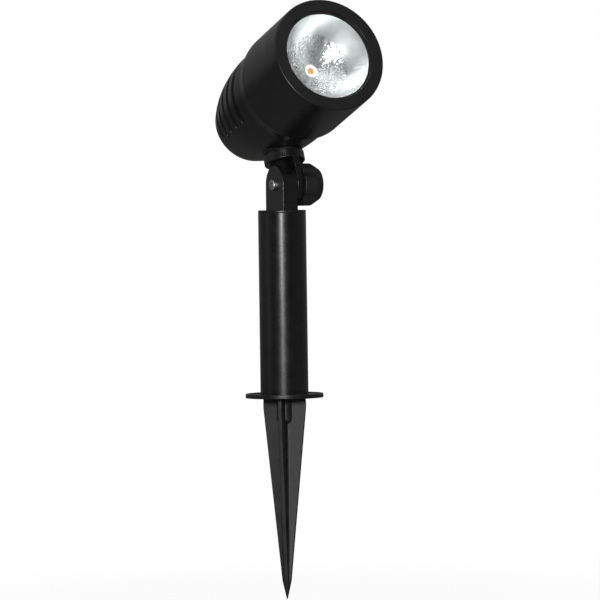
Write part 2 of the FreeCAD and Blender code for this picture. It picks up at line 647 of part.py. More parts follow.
def rear_housing():
    """Cast housing with cooling grooves over its top and sides and a smooth belly for the swivel."""
    body = new_body("rear_housing")
    step = -S["sleeve_length"]
    waist, tail, end = S["waist_d"] / 2, S["tail_d"] / 2, S["end_d"] / 2
    cavity, narrow, mouth = S["cavity_d"] / 2, S["cavity_tail_d"] / 2, INSIDE - S["spigot_wall"]
    turn(body, [(ZERO, HOUSING_END), (end, HOUSING_END), (tail, HOUSING_END + S["tail_length"]),
                Bow(waist, step - S["waist_at"], S["tail_bow"], -1), (S["head_d"] / 2, step), (INSIDE, step),
                (INSIDE, SPIGOT_FRONT), (mouth, SPIGOT_FRONT), (mouth, step), (cavity, step),
                (cavity, step - S["cavity_straight"]), (narrow, HOUSING_END + S["end_wall"]),
                (ZERO, HOUSING_END + S["end_wall"])])
    # The groove floors follow the housing's side, from full depth at the front to a shallow last groove.
    count = int(number("groove_count"))
    first_floor, last_floor = waist - S["groove_depth"], tail - S["tail_groove_depth"]
    for i in range(count):
        front = step - S["first_groove"] - S["groove_pitch"] * i
        back = front - S["groove_width"]
        floor = first_floor - (first_floor - last_floor) * (i / max(count - 1, 1)) ** 2
        turn(body, [(floor, back), (S["head_d"] / 2, back), (S["head_d"] / 2, front), (floor, front)],
             "PartDesign::Groove", sweep=S["groove_spread_angle"])
    # Seat for the swivel: a boss under the belly, cut flat.
    seat = AXIS_ABOVE_HUB - SEAT
    middle = -S["head_front"]
    wall = cavity + S["head_gap"]
    pad(body, "XZ_Plane", lambda sketch: circle(sketch, ZERO, middle, S["boss_d"] / 2), wall, seat - wall)
    pad(body, "XZ_Plane", lambda sketch: circle(sketch, ZERO, middle, S["hub_d"] / 2 + S["seat_clear"]),
        seat, S["seat_cut"], cut=True)
    pad(body, "XZ_Plane", lambda sketch: circle(sketch, ZERO, middle, S["stem_neck_d"] / 2 + S["stem_fit"]),
        narrow, seat - narrow, cut=True)
    # Groove for the seal ring round the spigot.
    ring_front = step + S["seal_back"]
    floor = INSIDE - S["seal_d"]
    turn(body, [(floor, ring_front), (INSIDE + S["head_gap"], ring_front),
                (INSIDE + S["head_gap"], ring_front + S["seal_groove_width"]),
                (floor, ring_front + S["seal_groove_width"])], "PartDesign::Groove")
    round_holes(body, [(ZERO, GLAND_Y)], S["gland_thread_d"] / 2 + S["thread_gap"], HOUSING_END, S["end_wall"])
    round_holes(body, PLATE_SCREWS, SCREW_HOLE, SPIGOT_FRONT - S["screw_length"], S["screw_length"])
    return body


def seal_ring():
    body = new_body("housing_seal")
    sketch = sketch_in(body, "YZ_Plane")
    middle = S["seal_back"] - S["sleeve_length"] + S["seal_groove_width"] / 2
    circle(sketch, INSIDE - S["seal_d"] / 2 + S["head_gap"] / 2, middle, S["seal_d"] / 2)
    made = body.newObject("PartDesign::Revolution", "seal_turned")
    made.Profile = sketch
    made.ReferenceAxis = (sketch, ["V_Axis"])
    made.Angle = 360.0
    return body


# ---------------------------------------------------------------- driver and cable entry
DRIVER_FRONT = SPIGOT_FRONT - S["driver_stand"]


def driver_board():
    body = new_body("driver_board")
    half = S["driver_width"] / 2
    face = box_outline(-half, -S["driver_thick"], half, ZERO)
    pad(body, "XY_Plane", lambda sketch: outline(sketch, face), DRIVER_FRONT - S["driver_length"],
        S["driver_length"])
    return body


def driver_posts():
    posts = []
    for i, side in enumerate((1, -1)):
        body = new_body("driver_posts_%d" % (i + 1))
        middle = S["driver_post_x"] * side
        pad(body, "XY_Plane", lambda sketch: circle(sketch, middle, ZERO, S["driver_post_d"] / 2),
            DRIVER_FRONT, S["driver_stand"])
        body.Placement = LAMP
        posts.append(body)
    return group("driver_posts", posts)


def driver_coil():
    body = new_body("driver_coil")
    back = DRIVER_FRONT - S["coil_back"]
    height = S["coil_height"]
    pad(body, "XZ_Plane", lambda sketch: circle(sketch, ZERO, back, S["coil_d"] / 2), -height, height)
    return body


def driver_capacitor():
    body = new_body("driver_capacitor")
    radius = S["can_d"] / 2
    pad(body, "XY_Plane", lambda sketch: circle(sketch, ZERO, radius + S["head_gap"], radius),
        DRIVER_FRONT - S["can_back"] - S["can_length"], S["can_length"])
    return body


GLAND = LAMP * FreeCAD.Placement(V(0, GLAND_Y.value, HOUSING_END.value), FreeCAD.Rotation(V(1, 0, 0), 180))


def gland_body():
    """Threaded gland body through the housing's end wall, with a wrench collar outside it."""
    thread, collar = S["gland_thread_d"] / 2, S["gland_flange_d"] / 2
    sleeve, hole = S["gland_sleeve_d"] / 2, S["gland_hole_d"] / 2
    top = S["gland_flange"] + S["gland_nut_length"] / 2
    return turned("gland_body", [(hole, -S["end_wall"]), (thread, -S["end_wall"]), (thread, ZERO),
                                 (collar, ZERO), (collar, S["gland_flange"]), (sleeve, S["gland_flange"]),
                                 (sleeve, top), (hole, top)])


def gland_seal():
    low = S["gland_flange"] + S["gland_nut_length"] / 2
    hole = S["gland_hole_d"] / 2
    outer = hole + S["gland_seal_wall"]
    high = S["gland_flange"] + S["gland_nut_length"]
    return turned("gland_seal", [(hole, low), (outer, low), (outer, high), (hole, high)])


def gland_nut():
    """Domed nut over the gland's sleeve and seal."""
    low, length = S["gland_flange"], S["gland_nut_length"]
    outer, end = S["gland_flange_d"] / 2, S["gland_nut_end_d"] / 2
    sleeve = S["gland_sleeve_d"] / 2
    seal = S["gland_hole_d"] / 2 + S["gland_seal_wall"]
    middle = low + length / 2
    return turned("gland_nut", [(sleeve, low), (outer, low), (outer, middle), (end, low + length),
                                (seal, low + length), (seal, middle), (sleeve, middle)])


# ---------------------------------------------------------------- the whole light
keep(ground_spike(), FreeCAD.Placement(V(), FreeCAD.Rotation(V(0, 0, 1), number("spike_turn_angle"))))
keep(ground_flange())
keep(spike_stud())
keep(pole_plug())
keep(pole_tube())
GRUB_PLACES = [FreeCAD.Placement(V(0, number("pole_d") / 2 - number("grub_sunk") - number("grub_length"), z.value),
                                 FreeCAD.Rotation(V(1, 0, 0), -90)) for z in (LOW_SCREW, HIGH_SCREW)]
keep(grub_screws("pole_screws", GRUB_PLACES))
keep(pivot_post())
keep(pivot_bolt(), BOLT)
keep(swivel_arm(), HEAD)
keep(pan_screw(), HUB * FreeCAD.Placement(V(0, 0, number("hub_thick") - number("stem_depth") / 2),
                                          FreeCAD.Rotation(V(1, 0, 0), -90)))
keep(ring("clamp_washer", S["clamp_washer_d"], S["bolt_d"] + S["bolt_fit"] * 2, CLAMP_START, KNOB_START), BOLT)
keep(clamp_knob(), BOLT)
keep(ring("knob_insert", S["insert_d"], S["bolt_d"] + S["bolt_fit"] * 2, KNOB_START,
          KNOB_START + S["insert_length"]), BOLT)
keep(swivel_stem(), HUB)
keep(ring("swivel_washer", S["pan_washer_d"], S["stem_d"] + S["stem_fit"] * 2, S["hub_thick"] + S["pan_gap"],
          SEAT), HUB)
keep(ring("stem_nut", S["stem_nut_d"], S["stem_neck_d"] + S["stem_fit"] * 2, NUT_FOOT,
          NUT_FOOT + S["stem_nut_thick"]), HUB)
keep(front_sleeve(), LAMP)
keep(ring("lens_gasket", INSIDE * 2, INSIDE * 2 - S["gasket_width"] * 2, GASKET_BACK, -S["rim_thick"]), LAMP)
keep(turned("lens_glass", [(ZERO, GLASS_BACK), (INSIDE, GLASS_BACK), (INSIDE, GASKET_BACK),
                           (ZERO, GASKET_BACK)]), LAMP)
keep(reflector(), LAMP)
keep(led_holder(), LAMP)
keep(machine_screws("holder_screws", HOLDER_SCREWS, HOLDER_FRONT))
keep(led_emitter(), LAMP)
keep(turned("led_phosphor", [(ZERO, BOARD_FRONT + S["emitter_thick"]),
                             (S["phosphor_d"] / 2, BOARD_FRONT + S["emitter_thick"]),
                             (S["phosphor_d"] / 2, BOARD_FRONT + S["emitter_thick"] + S["phosphor_thick"]),
                             (ZERO, BOARD_FRONT + S["emitter_thick"] + S["phosphor_thick"])]), LAMP)
keep(disc_with_screw_holes("led_board", S["board_d"], BOARD_BACK, S["board_thick"]), LAMP)
keep(disc_with_screw_holes("thermal_pad", S["board_d"], PLATE_FRONT, S["pad_thick"]), LAMP)
keep(heat_plate(), LAMP)
keep(machine_screws("plate_screws", PLATE_SCREWS, PLATE_FRONT))
keep(rear_housing(), LAMP)
keep(seal_ring(), LAMP)
keep(driver_posts())
keep(driver_board(), LAMP)
keep(driver_coil(), LAMP)
keep(driver_capacitor(), LAMP)
keep(gland_body(), GLAND)
keep(gland_seal(), GLAND)
keep(gland_nut(), GLAND)

doc.recompute()
for item in doc.Objects:
    if "Invalid" in item.State or "Error" in item.State:
        raise RuntimeError("%s failed to build" % item.Label)
for piece in pieces:
    if piece.Shape.isNull() or not piece.Shape.isValid():
        raise RuntimeError("%s has no valid shape" % piece.Label)
for piece in pieces:
    piece.Shape.exportStep("parts/%s.step" % piece.Label)
    print("%-18s %2d solid(s) %10.1f mm3" % (piece.Label, len(piece.Shape.Solids), piece.Shape.Volume))
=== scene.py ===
import json
import logging
import math
from collections.abc import Callable, Sequence
from dataclasses import dataclass
from enum import Enum

import bmesh
import bpy
import numpy as np
from mathutils import Matrix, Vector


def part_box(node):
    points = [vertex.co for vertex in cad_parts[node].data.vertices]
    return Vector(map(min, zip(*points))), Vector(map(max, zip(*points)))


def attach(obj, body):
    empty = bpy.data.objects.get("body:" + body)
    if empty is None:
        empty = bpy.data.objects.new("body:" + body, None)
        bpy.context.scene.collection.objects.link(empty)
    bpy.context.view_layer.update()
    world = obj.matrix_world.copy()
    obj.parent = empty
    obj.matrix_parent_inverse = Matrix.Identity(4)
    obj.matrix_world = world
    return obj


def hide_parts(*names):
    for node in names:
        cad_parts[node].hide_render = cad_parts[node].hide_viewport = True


# A garden spike spotlight: cross-bladed spike, flange, pole, slotted post, tilting arm, swivel and lamp head.
# Local sizes are in millimetres in each piece's own frame; Place turns them into metres in the row frame.

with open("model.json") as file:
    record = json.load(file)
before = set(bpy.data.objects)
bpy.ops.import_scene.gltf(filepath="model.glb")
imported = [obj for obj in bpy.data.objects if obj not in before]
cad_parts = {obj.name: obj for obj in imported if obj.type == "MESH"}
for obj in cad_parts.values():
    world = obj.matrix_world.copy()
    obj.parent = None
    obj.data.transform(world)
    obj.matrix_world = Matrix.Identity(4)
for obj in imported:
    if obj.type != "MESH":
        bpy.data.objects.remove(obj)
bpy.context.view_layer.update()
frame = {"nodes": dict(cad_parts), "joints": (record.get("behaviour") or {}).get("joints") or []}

LOG = logging.getLogger("spotlight")
MM = 0.001
# Points closer than this many metres are one point.
MERGE = 1e-6
# Smallest divisor, so that a division by a sine or cosine stays finite.
TINY = 1e-6
# The most of a side that the arc at one of its corners may take.
ARC_SHARE = 0.49
Array = np.ndarray


# ---------------------------------------------------------------- frames
@dataclass(frozen=True)
class Place:
    """A local frame: an origin in metres and three unit axes in the row frame."""

    origin: Array
    right: Array
    up: Array
    out: Array

    def world(self, points: Array) -> Array:
        """Points in local millimetres as points in row-frame metres.

        Args:
            points: array whose last axis holds right, up and out.

        Returns:
            An array of the same shape, in metres.
        """
        return self.origin + MM * points @ np.stack([self.right, self.up, self.out])

    def at(self, right: float = 0.0, up: float = 0.0, out: float = 0.0) -> "Place":
        """The same axes, with the origin moved along them by millimetres."""
        return Place(self.world(np.array([right, up, out])), self.right, self.up, self.out)

    def looking(self, out: Array, up: Array) -> "Place":
        """The same origin, with the axes turned so that out and up are as given."""
        return Place(self.origin, np.cross(up, out), up, out)


def joint(name: str) -> dict:
    """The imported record's joint of that name."""
    return next(item for item in frame["joints"] if item["name"] == name)


def middle(node: str) -> Array:
    """The centre of a CAD node's box, in metres."""
    low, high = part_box(node)
    return (np.array(low) + np.array(high)) / 2


@dataclass(frozen=True)
class Frames:
    """The frames of the pole, the pivot bolt, the hub and the lamp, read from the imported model."""

    glass_depth: float = 4.8
    gland_drop: float = 13.0
    lamp_length: float = 131.5

    @property
    def pole(self) -> Place:
        """Z up the pole from the flange's underside."""
        return Place(np.zeros(3), np.eye(3)[0], np.eye(3)[1], np.eye(3)[2])

    @property
    def pivot(self) -> Place:
        """The pole's axes, on the pivot."""
        return Place(np.array(joint("head_tilt")["pos_m"]), np.eye(3)[0], np.eye(3)[1], np.eye(3)[2])

    @property
    def bolt(self) -> Place:
        """Z along the pivot bolt towards the knob, from the pole's axis."""
        pivot = self.pivot
        return pivot.looking(pivot.right, pivot.up)

    @property
    def head(self) -> Place:
        """Y up through the swivel and Z out through the glass, on the pivot.

        Returns:
            The head's axes, normalised from head_pan's axis in the record.
        """
        up = np.array(joint("head_pan")["axis"])
        up = up / np.linalg.norm(up)
        return self.pivot.looking(np.cross(self.pivot.right, up), up)

    @property
    def hub(self) -> Place:
        """Z up through the swivel, on the hub's lower face."""
        head = self.head
        return Place(np.array(joint("head_pan")["pos_m"]), head.right, -head.out, head.up)

    @property
    def lamp(self) -> Place:
        """The head's axes, with Z = 0 on the front rim."""
        head = self.head
        return Place(middle("lens_glass"), head.right, head.up, head.out).at(out=self.glass_depth)

    @property
    def gland(self) -> Place:
        """Z out of the lamp's rear end, on the cable gland's axis.

        Returns:
            The gland's frame, gland_drop under the lamp's own axis.
        """
        lamp = self.lamp
        rear = lamp.at(up=-self.gland_drop, out=-self.lamp_length)
        return Place(rear.origin, lamp.right, -lamp.up, -lamp.out)


# ---------------------------------------------------------------- profiles
def rounded(corners: Sequence[tuple[float, ...]], closed: bool = False, steps: int = 6) -> Array:
    """Polyline through corners, each turned on an arc that touches both of its sides.

    The arc lies radius / sin(half the corner angle) from the corner along its bisector, and runs from one
    tangent point to the other by slerp about its centre.

    Args:
        corners: (across, along) or (across, along, radius) in millimetres.
        closed: whether the last corner joins the first.
        steps: number of points on each arc.

    Returns:
        An array of (across, along); a closed line repeats its first point at the end.
    """
    spots = [np.array(corner[:2], float) for corner in corners]
    radii = [corner[2] if len(corner) > 2 else 0.0 for corner in corners]
    count, line = len(corners), []
    for i, (spot, radius) in enumerate(zip(spots, radii)):
        if radius <= 0 or (not closed and i in (0, count - 1)):
            line.append(spot[None])
            continue
        before, after = spots[i - 1] - spot, spots[(i + 1) % count] - spot
        reach = ARC_SHARE * min(np.linalg.norm(before), np.linalg.norm(after))
        before, after = before / np.linalg.norm(before), after / np.linalg.norm(after)
        half = math.acos(np.clip(before @ after, -1, 1)) / 2
        radius = min(radius, reach * math.tan(half))
        bisector = (before + after) / np.linalg.norm(before + after)
        centre = spot + bisector * radius / math.sin(half)
        start = spot + before * radius / math.tan(half) - centre
        end = spot + after * radius / math.tan(half) - centre
        sweep, part = math.pi - 2 * half, np.linspace(0, 1, steps)[:, None]
        share = (np.sin((1 - part) * sweep) * start + np.sin(part * sweep) * end) / math.sin(sweep)
        line.append(centre + share)
    line = np.concatenate(line)
    return np.concatenate([line, line[:1]]) if closed else line


def smooth(value: Array, low: float, high: float) -> Array:
    """Smoothstep: 0 below low, 1 above high, and 3t^2 - 2t^3 between them."""
    part = np.clip((value - low) / (high - low), 0, 1)
    return part * part * (3 - 2 * part)


def turned(profile: Array, place: Place, columns: int = 144, shape: Callable | None = None) -> Array:
    """Surface of revolution: the profile's (radius, height) swept round the place's out axis.

    Args:
        profile: array of (radius, height) in millimetres.
        place: the frame to turn in.
        columns: number of steps round the axis.
        shape: optional function of radius, height and angle grids that gives the radius grid.

    Returns:
        A grid of points, rows along the profile and columns round the axis, in metres.
    """
    angle = np.linspace(0, 2 * math.pi, columns + 1)[None]
    radius, height = profile[:, :1] + 0 * angle, profile[:, 1:] + 0 * angle
    if shape is not None:
        radius = shape(radius, height, angle)
    return place.world(np.stack([radius * np.cos(angle), radius * np.sin(angle), height], axis=-1))


def plate(reach: Callable, bore: float, low: float, high: float, edge: float, place: Place,
          columns: int = 240) -> Array:
    """Flat plate round a bore: a section (share of the way out, height) carried round the plate's outline.

    The outline is a radius for each angle; the section runs up the bore, over the top face, round the rounded
    edge and back under the lower face.

    Args:
        reach: function from angles to the outline's radius, in millimetres.
        bore: radius of the hole.
        low: height of the lower face along the place's out axis.
        high: height of the upper face.
        edge: radius of the outer edges.
        place: the frame; its right and up span the plate.
        columns: number of steps round the outline.

    Returns:
        A grid of points in metres.
    """
    angle = np.linspace(0, 2 * math.pi, columns + 1)[None]
    outer = reach(angle)
    quarter = np.linspace(0, math.pi / 2, 6)
    inset = edge * np.concatenate([1 - np.sin(quarter), 1 - np.cos(quarter)])
    height = np.concatenate([low + edge * (1 - np.cos(quarter)), high - edge * (1 - np.sin(quarter))])
    rim = outer - inset[:, None]
    hole = np.full_like(outer, bore)
    radius = np.concatenate([hole, rim, hole, hole])
    height = np.concatenate([[low], height, [high, low]])[:, None] + 0 * angle
    return place.world(np.stack([radius * np.cos(angle), radius * np.sin(angle), height], axis=-1))


def bow(along: Array, start: tuple[float, float], end: tuple[float, float], radius: float) -> Array:
    """Radius at each height of an arc through start and end that bulges outwards.

    Args:
        along: heights in millimetres.
        start: (radius, height) of one end.
        end: (radius, height) of the other end.
        radius: the arc's radius.

    Returns:
        The turned radius at each height.
    """
    first, last = np.array(start), np.array(end)
    chord = last - first
    length = np.linalg.norm(chord)
    inward = np.array([chord[1], -chord[0]]) / length
    centre = (first + last) / 2 + inward * math.sqrt(radius ** 2 - length ** 2 / 4)
    return centre[0] + np.sqrt(radius ** 2 - (along - centre[1]) ** 2)


# ---------------------------------------------------------------- meshes
class Join(Enum):
    """What a Boolean modifier does with its tool."""

    CUT = "DIFFERENCE"
    ADD = "UNION"


def mesh_object(name: str, sheets: Sequence[Array]) -> bpy.types.Object:
    """One object from grids of points: neighbouring points make quads, and seams and poles are merged.

    Args:
        name: the object's name.
        sheets: grids of points in metres, each a closed surface.

    Returns:
        The new object, with outward faces.
    """
    points, faces, start = [], [], 0
    for sheet in sheets:
        rows, columns = sheet.shape[:2]
        index = start + np.arange(rows * columns).reshape(rows, columns)
        corners = (index[:-1, :-1], index[:-1, 1:], index[1:, 1:], index[1:, :-1])
        faces.append(np.stack([corner.ravel() for corner in corners], axis=1))
        points.append(sheet.reshape(-1, 3))
        start += rows * columns
    mesh = bpy.data.meshes.new(name)
    mesh.from_pydata(np.concatenate(points), [], np.concatenate(faces).tolist())
    merge = bmesh.new()
    merge.from_mesh(mesh)
    bmesh.ops.remove_doubles(merge, verts=merge.verts, dist=MERGE)
    bmesh.ops.recalc_face_normals(merge, faces=merge.faces)
    merge.to_mesh(mesh)
    merge.free()
    obj = bpy.data.objects.new(name, mesh)
    bpy.context.scene.collection.objects.link(obj)
    return obj


def combine(obj: bpy.types.Object, tools: Sequence[bpy.types.Object], how: Join) -> None:
    """Adds the tools to an object's solid or cuts them from it, and deletes the tools.

    Args:
        obj: the object to change.
        tools: closed objects to add or cut.
        how: whether they are added or cut.
    """
    for tool in tools:
        step = obj.modifiers.new("combine", "BOOLEAN")
        step.operation, step.solver, step.object = how.value, "EXACT", tool
    bpy.context.view_layer.update()
    result = bpy.data.meshes.new_from_object(obj.evaluated_get(bpy.context.evaluated_depsgraph_get()))
    obj.modifiers.clear()
    obj.data = result
    for tool in tools:
        bpy.data.objects.remove(tool)


def finish_shading(obj: bpy.types.Object, sharp_degrees: float = 32.0) -> None:
    """Smooth shading between sharp edges, with large flats kept flat by weighted normals.

    Args:
        obj: the object to shade.
        sharp_degrees: edges that turn by more than this stay sharp.
    """
    obj.data.shade_smooth()
    obj.data.set_sharp_from_angle(angle=math.radians(sharp_degrees))
    weighted = obj.modifiers.new("flat faces", "WEIGHTED_NORMAL")
    weighted.keep_sharp = True


# ---------------------------------------------------------------- finishes
def linear(colour: str) -> tuple[float, float, float, float]:
    """An sRGB hex colour such as #1c1c1e as linear RGBA, by the sRGB curve."""
    parts = [int(colour[i:i + 2], 16) / 255 for i in (1, 3, 5)]
    return tuple(c / 12.92 if c <= 0.04045 else ((c + 0.055) / 1.055) ** 2.4 for c in parts) + (1.0,)


def per_metre(size_mm: float) -> float:
    """Texture scale at which one pattern cell is size_mm across on Object coordinates."""
    return 1 / (size_mm * MM)


def add(tree: bpy.types.NodeTree, kind: str, settings: dict | None = None, links: dict | None = None,
        ) -> bpy.types.Node:
    """Adds a shader node with its settings and links.

    Args:
        tree: the material's or world's node tree.
        kind: the node's type name without its ShaderNode prefix.
        settings: values by attribute name or by input name.
        links: output sockets by input name.

    Returns:
        The new node.
    """
    node = tree.nodes.new("ShaderNode" + kind)
    for key, value in (settings or {}).items():
        if hasattr(node, key):
            setattr(node, key, value)
        else:
            node.inputs[key].default_value = value
    for key, socket in (links or {}).items():
        tree.links.new(socket, node.inputs[key])
    return node


def fade(tree: bpy.types.NodeTree, value: bpy.types.NodeSocket, span: tuple[float, float],
         ends: tuple[float, float]) -> bpy.types.NodeSocket:
    """A shader value taken by smoothstep from the first of ends to the last, as it crosses the span.

    Args:
        tree: the material's or world's node tree.
        value: a socket with the value.
        span: where the change starts and stops.
        ends: the result before and after it.

    Returns:
        A socket with the result.
    """
    node = add(tree, "MapRange", {"interpolation_type": "SMOOTHSTEP", "From Min": span[0],
                                  "From Max": span[1], "To Min": ends[0], "To Max": ends[1]},
               {"Value": value})
    return node.outputs["Result"]


@dataclass(frozen=True)
class Finish:
    """A surface finish: what the piece is made of and how its surface was made.

    The colour drifts between dark and light, sRGB hex colours, as a soft noise of patch_mm cells goes through
    tone_range; the roughness drifts with it, by rough_spread in all, over gloss_range.
    """

    name: str
    dark: str
    light: str
    roughness: float = 0.4
    metallic: float = 0.0
    ior: float = 1.5
    specular: float = 0.5
    patch_mm: float = 14.0
    grain_mm: float = 0.6
    grain_depth_mm: float = 0.01
    rough_spread: float = 0.08
    tone_range: tuple[float, float] = (0.35, 0.65)
    gloss_range: tuple[float, float] = (0.3, 0.7)

    def start(self) -> tuple[bpy.types.Material, bpy.types.NodeTree, bpy.types.Node]:
        """A new material with its tree and the coordinates every pattern reads.

        Returns:
            The material, its empty node tree and the Texture Coordinate node.
        """
        material = bpy.data.materials.new(self.name)
        material.use_nodes = True
        material.node_tree.nodes.clear()
        tree = material.node_tree
        return material, tree, add(tree, "TexCoord")

    def grain(self, tree: bpy.types.NodeTree, place: bpy.types.Node) -> bpy.types.NodeSocket:
        """Height of the fine surface texture: a soft noise of grain_mm unless a finish says otherwise.

        Args:
            tree: the material's node tree.
            place: the Texture Coordinate node.

        Returns:
            A socket with the height, 0 to 1.
        """
        noise = add(tree, "TexNoise", {"Scale": per_metre(self.grain_mm), "Detail": 2.0},
                    {"Vector": place.outputs["Object"]})
        return noise.outputs["Fac"]

    def normal(self, tree: bpy.types.NodeTree, place: bpy.types.Node) -> bpy.types.NodeSocket:
        """The shading normal, tilted by the slope of the grain.

        Args:
            tree: the material's node tree.
            place: the Texture Coordinate node.

        Returns:
            A socket with the normal.
        """
        lift = add(tree, "Bump", {"Distance": self.grain_depth_mm * MM, "Strength": 1.0},
                   {"Height": self.grain(tree, place)})
        return lift.outputs["Normal"]

    def gloss(self, tree: bpy.types.NodeTree, place: bpy.types.Node, patches: bpy.types.NodeSocket,
              ) -> bpy.types.NodeSocket:
        """Roughness, which drifts with the patches by rough_spread.

        Args:
            tree: the material's node tree.
            place: the Texture Coordinate node; not used here.
            patches: the large soft noise that the colour follows too.

        Returns:
            A socket with the roughness.
        """
        low, high = self.gloss_range
        drift = add(tree, "MapRange", {"From Min": low, "From Max": high,
                                       "To Min": self.roughness - self.rough_spread / 2,
                                       "To Max": self.roughness + self.rough_spread / 2}, {"Value": patches})
        return drift.outputs["Result"]

    def surface(self, tree: bpy.types.NodeTree, place: bpy.types.Node) -> bpy.types.Node:
        """The Principled node: colour and gloss drift over patches, and the grain lifts the surface.

        Args:
            tree: the material's node tree.
            place: the Texture Coordinate node.

        Returns:
            The Principled node.
        """
        patches = add(tree, "TexNoise", {"Scale": per_metre(self.patch_mm), "Detail": 3.0, "Roughness": 0.6},
                      {"Vector": place.outputs["Object"]})
        tone = add(tree, "ValToRGB", {}, {"Fac": patches.outputs["Fac"]})
        stops = zip(tone.color_ramp.elements, self.tone_range, (self.dark, self.light))
        for element, position, colour in stops:
            element.position, element.color = position, linear(colour)
        return add(tree, "BsdfPrincipled",
                   {"Metallic": self.metallic, "IOR": self.ior, "Specular IOR Level": self.specular},
                   {"Base Color": tone.outputs["Color"], "Normal": self.normal(tree, place),
                    "Roughness": self.gloss(tree, place, patches.outputs["Fac"])})

    def build(self) -> bpy.types.Material:
        """The finished material.

        Returns:
            A new material with its surface linked to the output.
        """
        material, tree, place = self.start()
        shader = self.surface(tree, place)
        add(tree, "OutputMaterial", {}, {"Surface": shader.outputs["BSDF"]})
        return material


@dataclass(frozen=True)
class TurnedMetal(Finish):
    """Bare metal with tool marks: noise of tool_mm, drawn out level by stretch, gives a silky sheen."""

    tool_mm: float = 0.35
    stretch: tuple[float, float, float] = (0.15, 0.15, 1.0)

    def grain(self, tree: bpy.types.NodeTree, place: bpy.types.Node) -> bpy.types.NodeSocket:
        """Height of the tool marks: noise on coordinates scaled by stretch, so that it lies in level bands.

        Args:
            tree: the material's node tree.
            place: the Texture Coordinate node.

        Returns:
            A socket with the height, 0 to 1.
        """
        bands = add(tree, "Mapping", {"Scale": self.stretch}, {"Vector": place.outputs["Object"]})
        marks = add(tree, "TexNoise", {"Scale": per_metre(self.tool_mm), "Detail": 2.0},
                    {"Vector": bands.outputs["Vector"]})
        return marks.outputs["Fac"]


@dataclass(frozen=True)
class Stippled(Finish):
    """Vapour-coated reflector, moulded with a stipple of small facets that scatter the light into specks.

    The stipple lies round the throat and fades to a silky wall near the mouth. The throat is a point in the
    row frame, in metres; facet_tilt is the spread of the facets' normals, as a slope.
    """

    facet_mm: float = 0.95
    facet_tilt: float = 0.24
    wall_roughness: float = 0.34
    throat: tuple[float, float, float] = (0.0054, -0.0346, 0.2165)
    stipple_mm: tuple[float, float] = (19.0, 30.0)

    def outwards(self, tree: bpy.types.NodeTree, place: bpy.types.Node, near: float, far: float,
                 ) -> bpy.types.NodeSocket:
        """A value that goes by smoothstep from near, round the throat, to far, on the wall by the mouth.

        Args:
            tree: the material's node tree.
            place: the Texture Coordinate node.
            near: the value within the first of stipple_mm from the throat.
            far: the value beyond the second.

        Returns:
            A socket with the value.
        """
        away = add(tree, "VectorMath", {"operation": "DISTANCE"}, {0: place.outputs["Object"]})
        away.inputs[1].default_value = self.throat
        first, last = self.stipple_mm
        return fade(tree, away.outputs["Value"], (first * MM, last * MM), (near, far))

    def normal(self, tree: bpy.types.NodeTree, place: bpy.types.Node) -> bpy.types.NodeSocket:
        """The surface's normal with one tilt for each Voronoi cell, less towards the mouth.

        Args:
            tree: the material's node tree.
            place: the Texture Coordinate node.

        Returns:
            A socket with the normal.
        """
        cells = add(tree, "TexVoronoi", {"Scale": per_metre(self.facet_mm)},
                    {"Vector": place.outputs["Object"]})
        centred = add(tree, "VectorMath", {"operation": "SUBTRACT"}, {0: cells.outputs["Color"]})
        centred.inputs[1].default_value = (0.5, 0.5, 0.5)
        tilt = add(tree, "VectorMath", {"operation": "SCALE"},
                   {0: centred.outputs["Vector"],
                    "Scale": self.outwards(tree, place, self.facet_tilt, 0.0)})
        flat = add(tree, "NewGeometry")
        leaning = add(tree, "VectorMath", {"operation": "ADD"}, {0: flat.outputs["Normal"],
                                                                 1: tilt.outputs["Vector"]})
        unit = add(tree, "VectorMath", {"operation": "NORMALIZE"}, {0: leaning.outputs["Vector"]})
        return unit.outputs["Vector"]

    def gloss(self, tree: bpy.types.NodeTree, place: bpy.types.Node, patches: bpy.types.NodeSocket,
              ) -> bpy.types.NodeSocket:
        """Roughness: glossy on the facets and silky on the wall."""
        return self.outwards(tree, place, self.roughness, self.wall_roughness)


@dataclass(frozen=True)
class Glass(Finish):
    """Tempered float glass, ground flat and polished: clear, with a faint cool cast."""

    def build(self) -> bpy.types.Material:
        """Glass whose shadow rays pass straight through, so that lamps reach what lies behind it.

        Returns:
            A new material with its surface linked to the output.
        """
        material, tree, place = self.start()
        shader = self.surface(tree, place)
        shader.inputs["Transmission Weight"].default_value = 1.0
        clear = add(tree, "BsdfTransparent", {"Color": linear(self.light)})
        rays = add(tree, "LightPath")
        mixed = add(tree, "MixShader", {}, {"Fac": rays.outputs["Is Shadow Ray"], 1: shader.outputs["BSDF"],
                                            2: clear.outputs["BSDF"]})
        add(tree, "OutputMaterial", {}, {"Surface": mixed.outputs["Shader"]})
        return material


